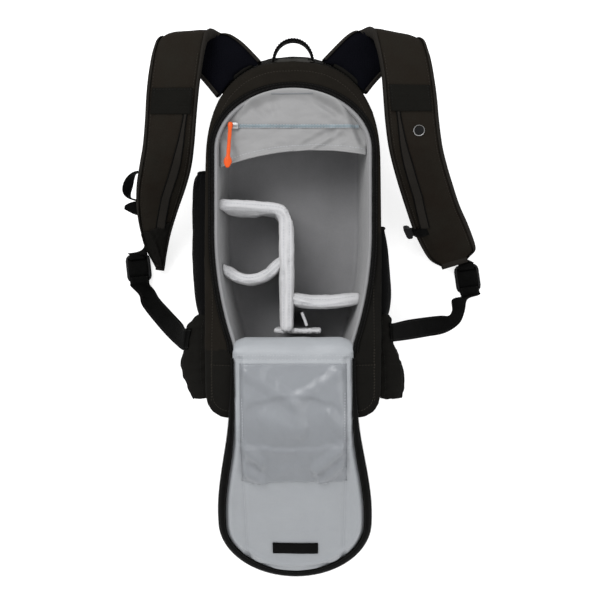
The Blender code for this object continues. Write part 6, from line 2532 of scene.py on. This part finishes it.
def add_studio():
    """White surroundings, lights and a white floor."""
    scene = bpy.context.scene
    scene.world = bpy.data.worlds.new("studio")
    scene.world.use_nodes = True
    set_inputs(scene.world.node_tree.nodes["Background"], color=WHITE, strength=WORLD_STRENGTH)
    for name, (place, power, size) in LIGHTS.items():
        add_light(name, place, power, size)
    corners = [(x * FLOOR_HALF, y * FLOOR_HALF, 0.0) for x, y in ((-1, -1), (1, -1), (1, 1), (-1, 1))]
    mesh = bpy.data.meshes.new("floor")
    mesh.from_pydata(corners, [], [(0, 1, 2, 3)])
    floor = bpy.data.objects.new("floor", mesh)
    material, _, shader = new_material("floor_white")
    set_inputs(shader, base_color=(FLOOR_GREY, FLOOR_GREY, FLOOR_GREY, 1.0), roughness=0.9,
               emission_color=WHITE, emission_strength=FLOOR_GLOW)
    mesh.materials.append(material)
    scene.collection.objects.link(floor)
    scene.view_settings.view_transform = "Standard"


# The whole scene

def main():
    shell = make_shell()
    frame_pad, frame_surface = make_back_frame()
    body_surface = surface_of(shell, frame_pad)
    make_rim_zip(frame_surface)
    make_lining()
    door_surface = make_door()
    make_door_edge()
    make_film(door_surface)
    make_label(door_surface)
    make_divider("divider_main", MAIN_DIVIDER, DIVIDER_THICKNESS, DIVIDER_HEIGHT, 11)
    make_divider("divider_curved", CURVED_DIVIDER, CURVED_THICKNESS, LOW_DIVIDER_HEIGHT, 12)
    make_divider("divider_right", RIGHT_DIVIDER, DIVIDER_THICKNESS, LOW_DIVIDER_HEIGHT, 13)
    bevelled_copy("divider_strip", "divider_strip_felt", DIVIDER_CLOTH)
    make_end_tab()
    make_pocket_zip(make_inner_pocket())
    make_slider()
    make_pull()
    make_side_pocket("side_pocket_left", -1, LEFT_POCKET_LENGTH, LEFT_POCKET_BASE, LEFT_POCKET_ROWS, 21)
    make_side_pocket("side_pocket_right", 1, RIGHT_POCKET_LENGTH, RIGHT_POCKET_BASE, RIGHT_POCKET_ROWS, 23)
    make_wing("left", -1, LEFT_WING_ROWS, 25)
    make_wing("right", 1, RIGHT_WING_ROWS, 27)
    make_haul_handle()
    make_handle_base(body_surface)
    left = make_strap_side("left", -1, LEFT_STRAP, LEFT_RAIL, LEFT_LOCK, LEFT_STUB, LEFT_WEBBING,
                           LEFT_WING_ROWS)
    right = make_strap_side("right", 1, RIGHT_STRAP, RIGHT_RAIL, RIGHT_LOCK, RIGHT_STUB, RIGHT_WEBBING,
                            RIGHT_WING_ROWS)
    raise_corner()
    make_sternum(left)
    bevelled_copy("sternum_buckle", "sternum_buckle_moulded", BLACK_PLASTIC, 0.0008, 3)
    make_badge(right)
    add_camera()
    add_studio()


main()
